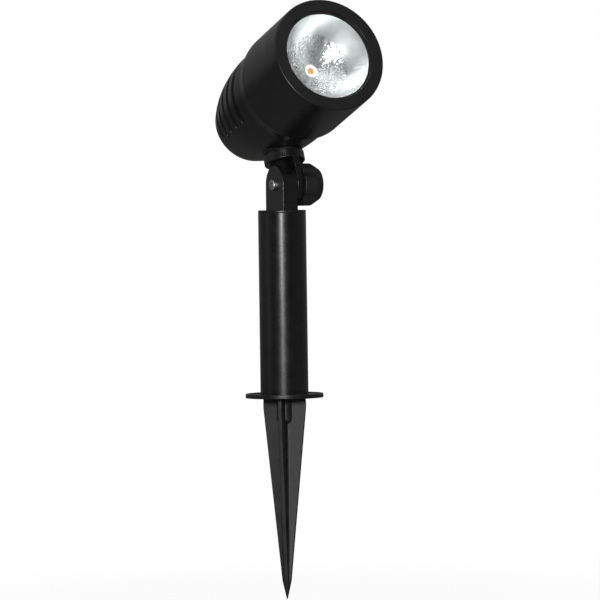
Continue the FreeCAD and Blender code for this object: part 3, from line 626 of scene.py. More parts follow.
class Stock(Enum):
    """The finishes of the light, each named for its material and process."""

    # Polyester powder sprayed on aluminium and baked: satin black with a faint orange peel.
    POWDER_COAT = Finish("satin_black_powder_coat", "#0b0b0c", "#0f0f10", roughness=0.34, specular=0.3,
                         grain_mm=0.9, grain_depth_mm=0.012)
    # Drawn tube under the same coat: a little glossier, because the tube is smoother than the castings.
    TUBE_COAT = Finish("satin_black_powder_coat_on_drawn_tube", "#0b0b0c", "#0e0e0f", roughness=0.27,
                       specular=0.3, grain_mm=1.1, grain_depth_mm=0.003)
    # Glass-filled nylon, injection moulded: matt black with fine mould grain and flow clouds.
    SPIKE_NYLON = Finish("moulded_glass_filled_nylon", "#0e0e0f", "#161617", roughness=0.5, specular=0.35,
                         patch_mm=9.0, grain_mm=0.35, grain_depth_mm=0.012, rough_spread=0.14)
    # Moulded knob plastic with spark-eroded texture: matt, dark grey-black.
    KNOB_PLASTIC = Finish("spark_textured_nylon", "#100f10", "#151414", roughness=0.55, specular=0.25,
                          grain_mm=0.3, grain_depth_mm=0.02)
    # Stainless steel turned on a lathe: bright, with fine tool marks.
    STEEL = TurnedMetal("turned_stainless_steel", "#a9abad", "#d2d4d5", roughness=0.27, metallic=1.0,
                        grain_depth_mm=0.004)
    # Stainless bolt, cold headed and tumbled: greyer and duller than the turned parts.
    BOLT_STEEL = TurnedMetal("tumbled_stainless_bolt", "#8b8e90", "#a4a6a8", roughness=0.42, metallic=1.0,
                             grain_depth_mm=0.004)
    # Free-cutting brass, turned: yellow with tool marks.
    BRASS = TurnedMetal("turned_brass", "#a98545", "#cfa95f", roughness=0.3, metallic=1.0,
                        grain_depth_mm=0.004)
    # Aluminium plate and bar, machined and left bare: pale grey, with fine tool marks.
    BARE_ALUMINIUM = TurnedMetal("machined_bare_aluminium", "#b3b5b8", "#d0d2d4", roughness=0.36,
                                 metallic=1.0, grain_depth_mm=0.005)
    # Polycarbonate coated with aluminium vapour over a moulded stipple.
    REFLECTOR = Stippled("stippled_vapour_coated_reflector", "#c4c6c6", "#ced0d0", roughness=0.22,
                         metallic=1.0)
    # Tempered glass.
    GLASS = Glass("tempered_float_glass", "#f9fbfb", "#fdfefe", roughness=0.02, ior=1.52, patch_mm=30.0,
                  grain_mm=4.0, grain_depth_mm=0.001, rough_spread=0.02)
    # EPDM rubber, compression moulded: dull black.
    RUBBER = Finish("moulded_epdm_rubber", "#131313", "#1c1c1c", roughness=0.75, specular=0.3,
                    grain_mm=0.4, grain_depth_mm=0.02)
    # Natural nylon, moulded: milky white and slightly waxy.
    WHITE_NYLON = Finish("moulded_white_nylon", "#a9a8a3", "#b9b8b3", roughness=0.45, grain_mm=0.5)
    # White solder mask over glass cloth: smooth, with a slight gloss.
    WHITE_MASK = Finish("white_solder_mask", "#dcdcd8", "#eeeeea", roughness=0.35, grain_mm=0.8)
    # Green solder mask over glass cloth.
    GREEN_MASK = Finish("green_solder_mask", "#0d3a1e", "#155029", roughness=0.35, grain_mm=0.8)
    # Alumina ceramic, pressed and fired: chalky white.
    CERAMIC = Finish("fired_alumina", "#d9d7d0", "#ebe9e3", roughness=0.6, grain_mm=0.2)
    # Phosphor powder in silicone: amber, glossy on top.
    PHOSPHOR = Finish("phosphor_in_silicone", "#9c6a2a", "#b57f38", roughness=0.25, patch_mm=1.5,
                      grain_mm=0.25, grain_depth_mm=0.01)
    # Filled silicone pad: grey and soft.
    PAD = Finish("filled_silicone_pad", "#6f747c", "#858a92", roughness=0.7, grain_mm=0.3)
    # Printed sleeve shrunk over an aluminium can: dark blue, glossy, with no print.
    CAN_SLEEVE = Finish("shrunk_pvc_sleeve", "#141b3c", "#1d2750", roughness=0.22, grain_mm=1.5)
    # Enamelled copper wire wound on a core: reddish, in turns of about tool_mm.
    COPPER = TurnedMetal("wound_enamelled_copper", "#8a4322", "#b8653a", roughness=0.3, metallic=1.0,
                         tool_mm=0.6, grain_depth_mm=0.08)


MATERIALS: dict[Stock, bpy.types.Material] = {}


def material_of(stock: Stock) -> bpy.types.Material:
    """The one material of a finish, built when it is first asked for.

    Args:
        stock: the finish.

    Returns:
        Its material.
    """
    if stock not in MATERIALS:
        MATERIALS[stock] = stock.value.build()
    return MATERIALS[stock]


def dress(obj: bpy.types.Object, stock: Stock) -> None:
    """Gives an object one finish in its only material slot."""
    obj.data.materials.clear()
    obj.data.materials.append(material_of(stock))


def dress_nodes(finishes: dict[str, Stock]) -> None:
    """Gives carried-over CAD nodes their finishes through their own material slots.

    Args:
        finishes: the finish of each node, by the node's name.
    """
    for name, stock in finishes.items():
        node = frame["nodes"][name]
        for slot in node.material_slots:
            slot.material = material_of(stock)
        if not node.material_slots:
            node.data.materials.append(material_of(stock))
        LOG.info("dressed %s as %s", name, stock.value.name)


def deliver(obj: bpy.types.Object, stock: Stock, body: str, slot: str, *nodes: str) -> None:
    """Args:
        obj: the piece.
        stock: its finish.
        body: the body it rides on.
        slot: its material slot in the record; not used.
        nodes: the CAD nodes it stands for.
    """
    finish_shading(obj)
    dress(obj, stock)
    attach(obj, body)
    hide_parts(*nodes)
    LOG.info("built %s: %d faces on %s", obj.name, len(obj.data.polygons), body)


# ---------------------------------------------------------------- ground part
@dataclass(frozen=True)
class GroundPart:
    """The cross-bladed spike, its flange and the stud that joins them to the pole."""

    width: float = 29.0
    length: float = 134.5
    shoulder: float = 7.0
    point_width: float = 6.0
    point_length: float = 12.5
    blade_root: float = 1.75
    blade_edge: float = 1.35
    edge_round: float = 0.55
    root_round: float = 1.6
    tip_round: float = 0.35
    top_round: float = 1.3
    top_facet: float = 0.3
    long_rows: int = 60
    point_rows: int = 18
    turn_degrees: float = -40.0
    core_d: float = 11.0
    core_length: float = 15.0
    core_taper: float = 6.0
    core_round: float = 2.0
    core_gap: float = 0.05
    flange_d: float = 52.0
    flange_thick: float = 2.0
    foot_round: float = 0.5
    lip: float = 1.4
    lip_rise: float = 0.9
    lip_round: float = 0.45
    inner_round: float = 0.4
    bore_d: float = 8.1

    def blade_reach(self, height: Array) -> Array:
        """Half width of the blades at each height, by straight lines between these points.

        From the tip up: a short point, a long taper, a straight shoulder and a rounded top.

        Args:
            height: heights in millimetres, 0 at the flange and negative below it.

        Returns:
            The half widths.
        """
        half, soft = self.width / 2, self.top_round
        facet = self.top_facet * soft
        heights = (-self.length, self.point_length - self.length, -self.shoulder, -soft, -facet, 0.0)
        widths = (self.tip_round, self.point_width / 2, half, half, half - facet, half - soft)
        return np.interp(height, heights, widths)

    def blades(self, place: Place) -> Array:
        """Plus-shaped outline carried up the spike.

        Each quarter runs from one blade's tip, round its edge, down its drafted flank, round the fillet at
        the root and out along the next blade; the other quarters are the same turned by right angles. Near
        the point each size is held to a share of the blade's reach, so that the outline can't cross itself.

        Args:
            place: the frame to build in.

        Returns:
            A grid of points in metres.
        """
        shaft = self.length - self.point_length
        height = -np.concatenate([[0.0, 0.4], np.linspace(1.0, shaft, self.long_rows),
                                  np.linspace(shaft + 0.8, self.length, self.point_rows)])
        rings = []
        for z, reach in zip(height, self.blade_reach(height)):
            small = min(1.0, reach / (self.point_width / 2))
            edge, root = self.blade_edge * small, min(self.blade_root, 0.7 * reach)
            edge = min(edge, 0.6 * reach)
            fillet = min(self.root_round, 0.45 * max(reach - root, 0.01))
            corner = min(self.edge_round, 0.9 * edge)
            quarter = rounded([(reach, 0.0), (reach, edge, corner), (root, root, fillet),
                               (edge, reach, corner), (0.0, reach)], steps=5)
            turns = [math.radians(self.turn_degrees) + i * math.pi / 2 for i in range(4)]
            ring = np.concatenate([np.stack([quarter[:-1, 0] * math.cos(a) - quarter[:-1, 1] * math.sin(a),
                                             quarter[:-1, 0] * math.sin(a) + quarter[:-1, 1] * math.cos(a)],
                                            axis=1) for a in turns])
            ring = np.concatenate([ring, ring[:1]])
            rings.append(np.column_stack([ring, np.full(len(ring), z)]))
        rings = np.stack(rings)
        top, tip = rings[:1] * [0, 0, 1], rings[-1:] * [0, 0, 1]
        return place.world(np.concatenate([top, rings, tip]))

    def core(self, place: Place) -> Array:
        """Turned boss round the stud between the blades, tapered below.

        Args:
            place: the frame to build in.

        Returns:
            A grid of points in metres.
        """
        radius = self.core_d / 2
        section = [(0, 0), (radius, 0), (radius, -self.core_length, self.core_round),
                   (0, -self.core_length - self.core_taper)]
        return turned(rounded(section), place.at(out=-self.core_gap), columns=72)

    def flange(self, place: Place) -> Array:
        """Thin turned disc with an upturned lip.

        Args:
            place: the frame to build in.

        Returns:
            A grid of points in metres.
        """
        outer, bore = self.flange_d / 2, self.bore_d / 2
        rise = self.flange_thick + self.lip_rise
        inner, soft = outer - self.lip, self.inner_round
        section = [(bore, 0), (outer, 0, self.foot_round), (outer, rise, self.lip_round), (inner, rise, soft),
                   (inner, self.flange_thick, soft), (bore, self.flange_thick)]
        return turned(rounded(section, closed=True), place, columns=160)

    def build(self, frames: Frames) -> None:
        """Builds and dresses the spike and the flange.

        Args:
            frames: the model's frames.
        """
        deliver(mesh_object("spike_blades", [self.blades(frames.pole), self.core(frames.pole)]),
                Stock.SPIKE_NYLON, "base", "spike_black", "ground_spike")
        deliver(mesh_object("stop_flange", [self.flange(frames.pole)]), Stock.POWDER_COAT, "base",
                "black_paint", "ground_flange")
        dress_nodes({"spike_stud": Stock.STEEL})


# ---------------------------------------------------------------- pole and pivot
@dataclass(frozen=True)
class PolePart:
    """The drawn tube between the flange and the post, with its plug and grub screws."""

    outer_d: float = 32.0
    wall: float = 1.6
    low: float = GroundPart.flange_thick
    high: float = 123.7
    end_round: float = 0.45
    screw_inset: float = 9.0
    screw_hole_d: float = 4.1

    def tube(self, place: Place) -> Array:
        """Ring section with rounded outer edges, turned about the pole's axis.

        Args:
            place: the frame to build in.

        Returns:
            A grid of points in metres.
        """
        outer = self.outer_d / 2
        inner = outer - self.wall
        ring = [(inner, self.low), (outer, self.low, self.end_round), (outer, self.high, self.end_round),
                (inner, self.high)]
        return turned(rounded(ring, closed=True), place, columns=192)

    def screw_hole(self, frames: Frames, height: float) -> bpy.types.Object:
        """A pin across the tube's back wall, to be cut from it.

        Args:
            frames: the model's frames.
            height: the pin's height up the tube, in millimetres.

        Returns:
            The pin as an object.
        """
        pole = frames.pole
        across = pole.at(out=height).looking(pole.up, pole.right)
        radius, outer = self.screw_hole_d / 2, self.outer_d / 2
        near, far = outer - 2 * self.wall, outer + self.wall
        outline = np.array([(0, near), (radius, near), (radius, far), (0, far)])
        return mesh_object("hole_tool", [turned(outline, across, columns=32)])

    def build(self, frames: Frames) -> None:
        """Builds and dresses the tube; the plug and the screws are the CAD's own.

        Args:
            frames: the model's frames.
        """
        tube = mesh_object("drawn_tube", [self.tube(frames.pole)])
        heights = (self.low + self.screw_inset, self.high - self.screw_inset)
        combine(tube, [self.screw_hole(frames, height) for height in heights], Join.CUT)
        deliver(tube, Stock.TUBE_COAT, "base", "black_paint", "pole_tube")
        dress_nodes({"pole_plug": Stock.BARE_ALUMINIUM, "pole_screws": Stock.STEEL})


@dataclass(frozen=True)
class PivotPart:
    """The slotted post on top of the pole and the bolt through it."""

    pole_high: float = PolePart.high
    pole_d: float = PolePart.outer_d
    pole_wall: float = PolePart.wall
    socket_gap: float = 0.05
    spigot: float = 18.0
    spigot_round: float = 0.5
    cap: float = 1.4
    cap_round: float = 0.5
    seam_round: float = 0.2
    width: float = 26.3
    thick: float = 11.2
    edge_round: float = 0.7
    slot: float = 5.9
    tongue_clear: float = 6.25
    slot_reach: float = 24.0
    bore_d: float = 6.1
    bolt_d: float = 6.0
    head_d: float = 7.6
    head_rise: float = 2.2
    head_seat: float = 1.2
    head_round: float = 0.9
    socket_flats: float = 3.0
    socket_depth: float = 2.0
    socket_over: float = 1.0
    bolt_end: float = 18.0
    bolt_end_round: float = 0.6

    def block_reach(self, drop: float) -> Callable:
        """Outline of the block round the pivot: a half round above and a rectangle below.

        Args:
            drop: distance from the pivot down to the block's foot, in millimetres.

        Returns:
            A function from angle to radius; the angle is measured from the bolt frame's right, which points
            down the pole.
        """
        half = self.width / 2

        def reach(angle: Array) -> Array:
            """Distance to the nearest of the foot and the flank, or the half round's radius."""
            down, side = np.cos(angle), np.abs(np.sin(angle))
            foot = drop / np.maximum(down, TINY)
            flank = half / np.maximum(side, TINY)
            return np.where(down > 0, np.minimum(foot, flank), half)

        return reach

    def slot_outline(self, frames: Frames) -> Callable:
        """Outline of the slot round the pivot: all that the tongue sweeps between its two tilt limits.

        With r the clearance and a, b the directions square to the tongue at its limits, the reach is the
        least of r / cos(angle - a), r / cos(angle - b) and slot_reach, and r where neither side faces.

        Args:
            frames: the model's frames.

        Returns:
            A function from angle to radius, with angles in the bolt frame.
        """
        bolt, up = frames.bolt, frames.head.up
        rest = math.atan2(up @ bolt.up, up @ bolt.right)
        low, high = joint("head_tilt")["range_deg"]
        front, back = rest - math.radians(low) + math.pi / 2, rest - math.radians(high) - math.pi / 2

        def reach(angle: Array) -> Array:
            """The least reach between the two limits, and the clearance outside them."""
            sides = [self.tongue_clear / np.maximum(np.cos(angle - square), TINY) for square in (front, back)]
            open_side = (angle - back) % (2 * math.pi) < front - back
            return np.where(open_side, np.minimum(np.minimum(*sides), self.slot_reach), self.tongue_clear)

        return reach

    def cap_disc(self, place: Place) -> Array:
        """Turned cap with the spigot that fits the tube.

        Args:
            place: the frame to build in.

        Returns:
            A grid of points in metres.
        """
        rim = self.pole_d / 2
        fit = rim - self.pole_wall - self.socket_gap
        low, high = self.pole_high - self.spigot, self.pole_high + self.cap
        section = [(0, low), (fit, low, self.spigot_round), (fit, self.pole_high),
                   (rim, self.pole_high, self.seam_round), (rim, high, self.cap_round), (0, high)]
        return turned(rounded(section), place, columns=160)

    def block(self, frames: Frames) -> bpy.types.Object:
        """Round-topped block with rounded edges, slotted for the tongue's swing and bored for the bolt.

        Args:
            frames: the model's frames.

        Returns:
            The block and its cap as one object.
        """
        bolt = frames.bolt
        drop = frames.pivot.origin[2] / MM - self.pole_high - self.cap / 2
        half, gap = self.thick / 2, self.slot / 2
        body = mesh_object("slotted_post", [plate(self.block_reach(drop), self.bore_d / 2, -half, half,
                                                  self.edge_round, bolt)])
        slot = plate(self.slot_outline(frames), self.bore_d / 4, -gap, gap, 0.0, bolt, columns=720)
        tool = mesh_object("slot_tool", [slot])
        combine(body, [tool], Join.CUT)
        combine(body, [mesh_object("cap_tool", [self.cap_disc(frames.pole)])], Join.ADD)
        return body

    def bolt_piece(self, frames: Frames) -> bpy.types.Object:
        """Turned bolt with a rounded head and a hexagon socket.

        Args:
            frames: the model's frames.

        Returns:
            The bolt as an object.
        """
        face = -self.thick / 2 - self.head_rise
        seat = -self.thick / 2 + self.head_seat
        shank, head = self.bolt_d / 2, self.head_d / 2
        section = [(0, face), (head, face, self.head_round), (head, seat), (shank, seat),
                   (shank, self.bolt_end, self.bolt_end_round), (0, self.bolt_end)]
        bolt = mesh_object("socket_bolt", [turned(rounded(section), frames.bolt, columns=72)])
        across = self.socket_flats / math.sqrt(3)
        front, deep = face - self.socket_over, face + self.socket_depth
        hexagon = np.array([(0, front), (across, front), (across, deep), (0, deep)])
        socket = mesh_object("socket_tool", [turned(hexagon, frames.bolt, columns=6)])
        combine(bolt, [socket], Join.CUT)
        return bolt

    def build(self, frames: Frames) -> None:
        """Builds and dresses the post and the bolt.

        Args:
            frames: the model's frames.
        """
        deliver(self.block(frames), Stock.POWDER_COAT, "base", "black_paint", "pivot_post")
        deliver(self.bolt_piece(frames), Stock.BOLT_STEEL, "base", "steel", "pivot_bolt")


# ---------------------------------------------------------------- arm, swivel and clamp
@dataclass(frozen=True)
class ArmPart:
    """The arm: a round hub under the lamp with a tongue in the post's slot and a cheek beside it."""

    nose: float = 12.9
    tongue: float = 5.4
    tongue_half: float = 6.0
    tongue_round: float = 0.2
    cheek_start: float = 5.85
    cheek: float = 4.0
    hub_d: float = 27.4
    hub_thick: float = 6.3
    hub_rise: float = 15.3
    hub_round: float = 0.7
    stem_bore_d: float = 12.1
    stem_bore_round: float = 0.3
    stem_depth: float = 4.6
    bolt_bore_d: float = PivotPart.bore_d
    edge_round: float = 0.6

    def leaf_reach(self, half: float) -> Callable:
        """Outline of a leaf round the pivot: rounded below, straight sides up into the hub.

        Args:
            half: half of the leaf's width, in millimetres.

        Returns:
            A function from angle to radius; the angle is measured from the head's back towards its up.
        """
        top = self.hub_rise + self.hub_thick / 2

        def reach(angle: Array) -> Array:
            """Distance to the side or the top, and the half width below the pivot."""
            rear, up = np.cos(angle), np.sin(angle)
            side = half / np.maximum(np.abs(rear), TINY)
            straight = np.minimum(side, top / np.maximum(up, TINY))
            return np.where(up > 0, np.maximum(straight, half), half)

        return reach

    def leaf(self, frames: Frames, start: float, thick: float, half: float, edge: float) -> bpy.types.Object:
        """One leaf, half its width either side of the pivot, between two heights along the bolt.

        Args:
            frames: the model's frames.
            start: height of its near face along the bolt, in millimetres.
            thick: its thickness.
            half: half of its width.
            edge: radius of its edges.

        Returns:
            The leaf as an object.
        """
        head = frames.head
        place = Place(head.origin, -head.out, head.up, head.right)
        return mesh_object("leaf_tool", [plate(self.leaf_reach(half), self.bolt_bore_d / 2, start,
                                               start + thick, edge, place)])

    def hub(self, place: Place) -> Array:
        """Turned hub with softly rounded edges and the swivel's bore.

        Args:
            place: the frame to build in.

        Returns:
            A grid of points in metres.
        """
        outer, bore = self.hub_d / 2, self.stem_bore_d / 2
        floor = self.hub_thick - self.stem_depth
        section = [(0, 0), (outer, 0, self.hub_round), (outer, self.hub_thick, self.hub_round),
                   (bore, self.hub_thick, self.stem_bore_round), (bore, floor), (0, floor)]
        return turned(rounded(section), place, columns=160)

    def build(self, frames: Frames) -> None:
        """Builds and dresses the arm.

        Args:
            frames: the model's frames.
        """
        arm = mesh_object("tilting_arm", [self.hub(frames.hub)])
        leaves = [self.leaf(frames, -self.tongue / 2, self.tongue, self.tongue_half, self.tongue_round),
                  self.leaf(frames, self.cheek_start, self.cheek, self.nose, self.edge_round)]
        combine(arm, leaves, Join.ADD)
        deliver(arm, Stock.POWDER_COAT, "arm", "black_paint", "swivel_arm")
        dress_nodes({"pan_screw": Stock.STEEL, "swivel_stem": Stock.STEEL, "stem_nut": Stock.STEEL,
                     "swivel_washer": Stock.RUBBER})


@dataclass(frozen=True)
class ClampPart:
    """The washer and the fluted knob that clamp the arm."""

    start: float = 11.15
    grip: float = 9.0
    length: float = 15.2
    wide_d: float = 28.4
    narrow_d: float = 21.0
    insert_d: float = 10.0
    insert_length: float = 8.0
    flutes: int = 5
    flute_d: float = 9.0
    flute_depth: float = 1.3
    soft: float = 0.7
    seat_round: float = 0.9
    grip_round: float = 2.0
    end_round: float = 1.6

    def fluted(self, radius: Array, height: Array, angle: Array) -> Array:
        """Radius cut by round flutes: the smooth minimum of the profile and the near wall of each cutter.

        The cutter's circle of radius c at distance d from the axis has its near wall at
        d cos a - sqrt(c^2 - d^2 sin^2 a), where a is the angle from the nearest flute. One flute is at 90
        degrees.

        Args:
            radius: grid of radii in millimetres.
            height: grid of heights along the axis; not used here.
            angle: grid of angles round the axis.

        Returns:
            The new grid of radii.
        """
        cutter = self.flute_d / 2
        centre = self.wide_d / 2 + cutter - self.flute_depth
        step = 2 * math.pi / self.flutes
        off = (angle - math.pi / 2 + step / 2) % step - step / 2
        inside = np.maximum(cutter ** 2 - (centre * np.sin(off)) ** 2, 0)
        wall = np.where(inside > 0, centre * np.cos(off) - np.sqrt(inside), 2 * centre)
        blend = np.clip(0.5 + 0.5 * (wall - radius) / self.soft, 0, 1)
        return wall + (radius - wall) * blend - self.soft * blend * (1 - blend)

    def knob(self, place: Place) -> Array:
        """Knob profile with rounded rims, fluted by the smooth minimum.

        Args:
            place: the frame to build in.

        Returns:
            A grid of points in metres.
        """
        wide, narrow, bore = self.wide_d / 2, self.narrow_d / 2, self.insert_d / 2
        end, deep = self.start + self.length, self.start + self.insert_length
        corners = [(bore, self.start), (wide, self.start, self.seat_round),
                   (wide, self.start + self.grip, self.grip_round), (narrow, end, self.end_round), (0, end),
                   (0, deep), (bore, deep)]
        return turned(rounded(corners, closed=True, steps=9), place, columns=256, shape=self.fluted)

    def build(self, frames: Frames) -> None:
        """Builds and dresses the knob; the washer and the insert are the CAD's own.

        Args:
            frames: the model's frames.
        """
        deliver(mesh_object("fluted_knob", [self.knob(frames.bolt)]), Stock.KNOB_PLASTIC, "knob",
                "knob_black", "clamp_knob")
        dress_nodes({"clamp_washer": Stock.STEEL, "knob_insert": Stock.BRASS})


# ---------------------------------------------------------------- lamp head
@dataclass(frozen=True)
class LampFront:
    """The front sleeve with its rim, the glass, the reflector and the light source."""

    outer_d: float = 78.0
    length: float = 53.0
    wall: float = 3.0
    window_d: float = 61.4
    rim: float = 2.0
    rim_round: float = 0.75
    rim_back_round: float = 0.3
    window_round: float = 0.35
    seam_round: float = 0.12
    glass_back: float = -6.8
    reflector_rim: float = 1.4
    reflector_wall: float = 1.2
    mouth_d: float = 63.0
    throat_d: float = 9.0
    throat_back: float = -30.3
    bow_radius: float = 38.0
    fit_d: float = 71.9
    ray_count: int = 72
    ray_depth: float = 0.05
    ray_fades: tuple[float, float, float, float] = (0.1, 0.4, 0.05, 0.3)
    inner_rows: int = 90
    outer_rows: int = 40

    def sleeve(self, place: Place) -> Array:
        """Turned sleeve whose rim turns in over the glass.

        Args:
            place: the frame to build in.

        Returns:
            A grid of points in metres.
        """
        outer, window = self.outer_d / 2, self.window_d / 2
        inner = outer - self.wall
        section = [(window, 0, self.window_round), (outer, 0, self.rim_round),
                   (outer, -self.length, self.seam_round), (inner, -self.length), (inner, -self.rim),
                   (window, -self.rim, self.rim_back_round)]
        return turned(rounded(section, closed=True), place, columns=240)

    def rayed(self, radius: Array, height: Array, angle: Array) -> Array:
        """Bowl radius with shallow rays: a cosine round the axis that fades out near the throat and rim.

        The fades are smoothsteps over shares of the bowl's depth, the first two from the rim and the others
        from the throat.

        Args:
            radius: grid of radii in millimetres.
            height: grid of heights along the axis.
            angle: grid of angles round the axis.

        Returns:
            The new grid of radii.
        """
        depth = (self.glass_back - height) / (self.glass_back - self.throat_back)
        share = smooth(depth, *self.ray_fades[:2]) * smooth(1 - depth, *self.ray_fades[2:])
        return radius - self.ray_depth * share * (0.5 + 0.5 * np.cos(self.ray_count * angle))

    def bowl(self, place: Place) -> Array:
        """Reflector: inner and outer bowed walls joined at the throat and by the flat rim.

        Args:
            place: the frame to build in.

        Returns:
            A grid of points in metres.
        """
        mouth, throat, wall = self.mouth_d / 2, self.throat_d / 2, self.reflector_wall
        low = self.glass_back - self.reflector_rim
        steps = np.linspace(0, 1, self.inner_rows)
        inner = self.throat_back + (self.glass_back - self.throat_back) * steps ** 2
        outer = low + (self.throat_back - low) * (1 - np.linspace(1, 0, self.outer_rows) ** 2)
        inner_line = np.column_stack([self.bowl_radius(inner, throat, mouth, self.glass_back), inner])
        outer_line = np.column_stack([self.bowl_radius(outer, throat + wall, mouth + wall, low), outer])
        rim = np.array([(self.fit_d / 2, self.glass_back), (self.fit_d / 2, low)])
        line = np.concatenate([inner_line, rim, outer_line, inner_line[:1]])
        return turned(line, place, columns=360, shape=self.rayed)

    def bowl_radius(self, along: Array, throat: float, mouth: float, top: float) -> Array:
        """Radius of the bowl's arc at each height between its throat and its mouth."""
        return bow(along, (mouth, top), (throat, self.throat_back), self.bow_radius)

    def build(self, frames: Frames) -> None:
        """Builds and dresses the sleeve and the reflector, and dresses what lies between them.

        Args:
            frames: the model's frames.
        """
        deliver(mesh_object("lamp_sleeve", [self.sleeve(frames.lamp)]), Stock.POWDER_COAT, "head",
                "black_paint", "front_sleeve")
        deliver(mesh_object("stippled_reflector", [self.bowl(frames.lamp)]), Stock.REFLECTOR, "head",
                "reflector_silver", "reflector")
        dress_nodes({"lens_glass": Stock.GLASS, "lens_gasket": Stock.RUBBER, "led_holder": Stock.WHITE_NYLON,
                     "holder_screws": Stock.STEEL, "led_emitter": Stock.CERAMIC,
                     "led_phosphor": Stock.PHOSPHOR, "led_board": Stock.WHITE_MASK, "thermal_pad": Stock.PAD,
                     "heat_plate": Stock.BARE_ALUMINIUM, "plate_screws": Stock.STEEL})


@dataclass(frozen=True)
class LampRear:
    """The rear housing with its cooling grooves, the swivel's seat and the cable gland."""

    step: float = -LampFront.length
    end: float = -Frames.lamp_length
    front_d: float = LampFront.outer_d
    fit_d: float = LampFront.fit_d
    spigot_front: float = -38.7
    spigot_wall: float = 6.0
    waist_d: float = 71.6
    waist_at: float = 9.5
    waist_run: float = 13.0
    tail_d: float = 52.6
    tail_length: float = 4.0
    tail_bow: float = 150.0
    tail_round: float = 4.0
    end_d: float = 49.6
    end_round: float = 1.6
    side_start: float = 3.0
    side_rows: int = 110
    cavity_d: float = 50.0
    cavity_straight: float = 44.0
    cavity_tail_d: float = 38.0
    end_wall: float = 6.0
    grooves: int = 5
    groove_pitch: float = 10.5
    groove_width: float = 4.4
    first_groove: float = 21.2
    groove_depth: float = 4.4
    tail_groove_depth: float = 0.2
    groove_spread: float = 243.0
    groove_run_out: float = 12.0
    groove_edge: float = 0.5
    groove_inset: float = 1.0
    fine_reach: float = 0.6
    fine_rows: int = 9
    seat_below: float = 35.4
    seat_d: float = 30.4
    seat_back: float = 88.7
    seat_over: float = 8.0
    boss_d: float = 26.0
    boss_flare: float = 2.0
    boss_start: float = 2.0
    boss_round: float = 0.4

    def side(self, height: Array) -> Array:
        """Radius of the side: a bow from the tail to the waist, lifted by a smoothstep to meet the sleeve.

        Args:
            height: heights along the lamp, in millimetres.

        Returns:
            The radii.
        """
        line = bow(height, (self.waist_d / 2, self.step - self.waist_at),
                   (self.tail_d / 2, self.end + self.tail_length), self.tail_bow)
        lift = smooth(height, self.step - self.waist_run, self.step)
        return line + (self.front_d / 2 - line) * lift

    def grooved(self, radius: Array, height: Array, angle: Array) -> Array:
        """Radius cut by the grooves.

        Each groove is a smooth-edged box along the axis, down to a floor that follows the housing's side, and
        fades out at both ends of the spread, which is centred on the top.

        Args:
            radius: grid of radii in millimetres.
            height: grid of heights along the axis.
            angle: grid of angles round the axis.

        Returns:
            The new grid of radii.
        """
        waist, tail = self.waist_d / 2, self.tail_d / 2
        first, last = waist - self.groove_depth, tail - self.tail_groove_depth
        from_top = np.abs(np.degrees(np.angle(np.exp(1j * (angle - math.pi / 2)))))
        spread = 1 - smooth(from_top, self.groove_spread / 2 - self.groove_run_out, self.groove_spread / 2)
        outside = radius > self.end_d / 2 + self.groove_inset
        for i in range(self.grooves):
            front = self.step - self.first_groove - self.groove_pitch * i
            back = front - self.groove_width
            floor = first - (first - last) * (i / (self.grooves - 1)) ** 2
            inside = smooth(height, back, back + self.groove_edge)
            inside = inside * (1 - smooth(height, front - self.groove_edge, front))
            radius = np.where(outside, radius - np.maximum(radius - floor, 0) * inside * spread, radius)
        return radius

    def shell(self, place: Place) -> Array:
        """Housing from the rear end's centre over the outside, round the spigot and back through the cavity.

        The heights are closer together at the grooves' edges.

        Args:
            place: the frame to build in.

        Returns:
            A grid of points in metres.
        """
        tail, end = self.tail_d / 2, self.end_d / 2
        fit, cavity = self.fit_d / 2, self.cavity_d / 2
        mouth, narrow = fit - self.spigot_wall, self.cavity_tail_d / 2
        start, stop = self.end + self.tail_length + self.side_start, self.step
        edges = [self.step - self.first_groove - self.groove_pitch * i - part * self.groove_width
                 for i in range(self.grooves) for part in (0, 1)]
        near = np.linspace(-self.fine_reach, self.fine_reach, self.fine_rows)
        even = np.linspace(start, stop, self.side_rows)
        heights = np.unique(np.round(np.concatenate([even, *[edge + near for edge in edges]]), 3))
        heights = heights[(heights >= start) & (heights <= stop)]
        corners = [(0, self.end), (end, self.end, self.end_round),
                   (tail, self.end + self.tail_length, self.tail_round)]
        corners += list(zip(self.side(heights), heights))
        corners += [(fit, self.step), (fit, self.spigot_front), (mouth, self.spigot_front),
                    (mouth, self.step), (cavity, self.step), (cavity, self.step - self.cavity_straight),
                    (narrow, self.end + self.end_wall), (0, self.end + self.end_wall)]
        return turned(rounded(corners), place, columns=288, shape=self.grooved)

    def below(self, frames: Frames) -> Place:
        """Z straight down out of the belly, over the swivel, from the lamp's axis."""
        lamp = frames.lamp
        return Place(lamp.at(out=-self.seat_back).origin, lamp.right, lamp.out, -lamp.up)

    def boss(self, frames: Frames) -> bpy.types.Object:
        """Turned boss under the belly that carries the swivel.

        Args:
            frames: the model's frames.

        Returns:
            The boss as an object.
        """
        radius, wall = self.boss_d / 2, self.cavity_d / 2 + self.boss_start
        section = [(0, wall), (radius + self.boss_flare, wall), (radius, self.seat_below, self.boss_round),
                   (0, self.seat_below)]
        return mesh_object("boss_tool", [turned(rounded(section), self.below(frames), columns=96)])

    def seat_cut(self, frames: Frames) -> bpy.types.Object:
        """Disc that flattens the belly over the hub.

        Args:
            frames: the model's frames.

        Returns:
            The disc as an object.
        """
        radius, top, deep = self.seat_d / 2, self.seat_below, self.seat_below + self.seat_over
        disc = np.array([(0, top), (radius, top), (radius, deep), (0, deep)])
        return mesh_object("seat_tool", [turned(disc, self.below(frames), columns=120)])

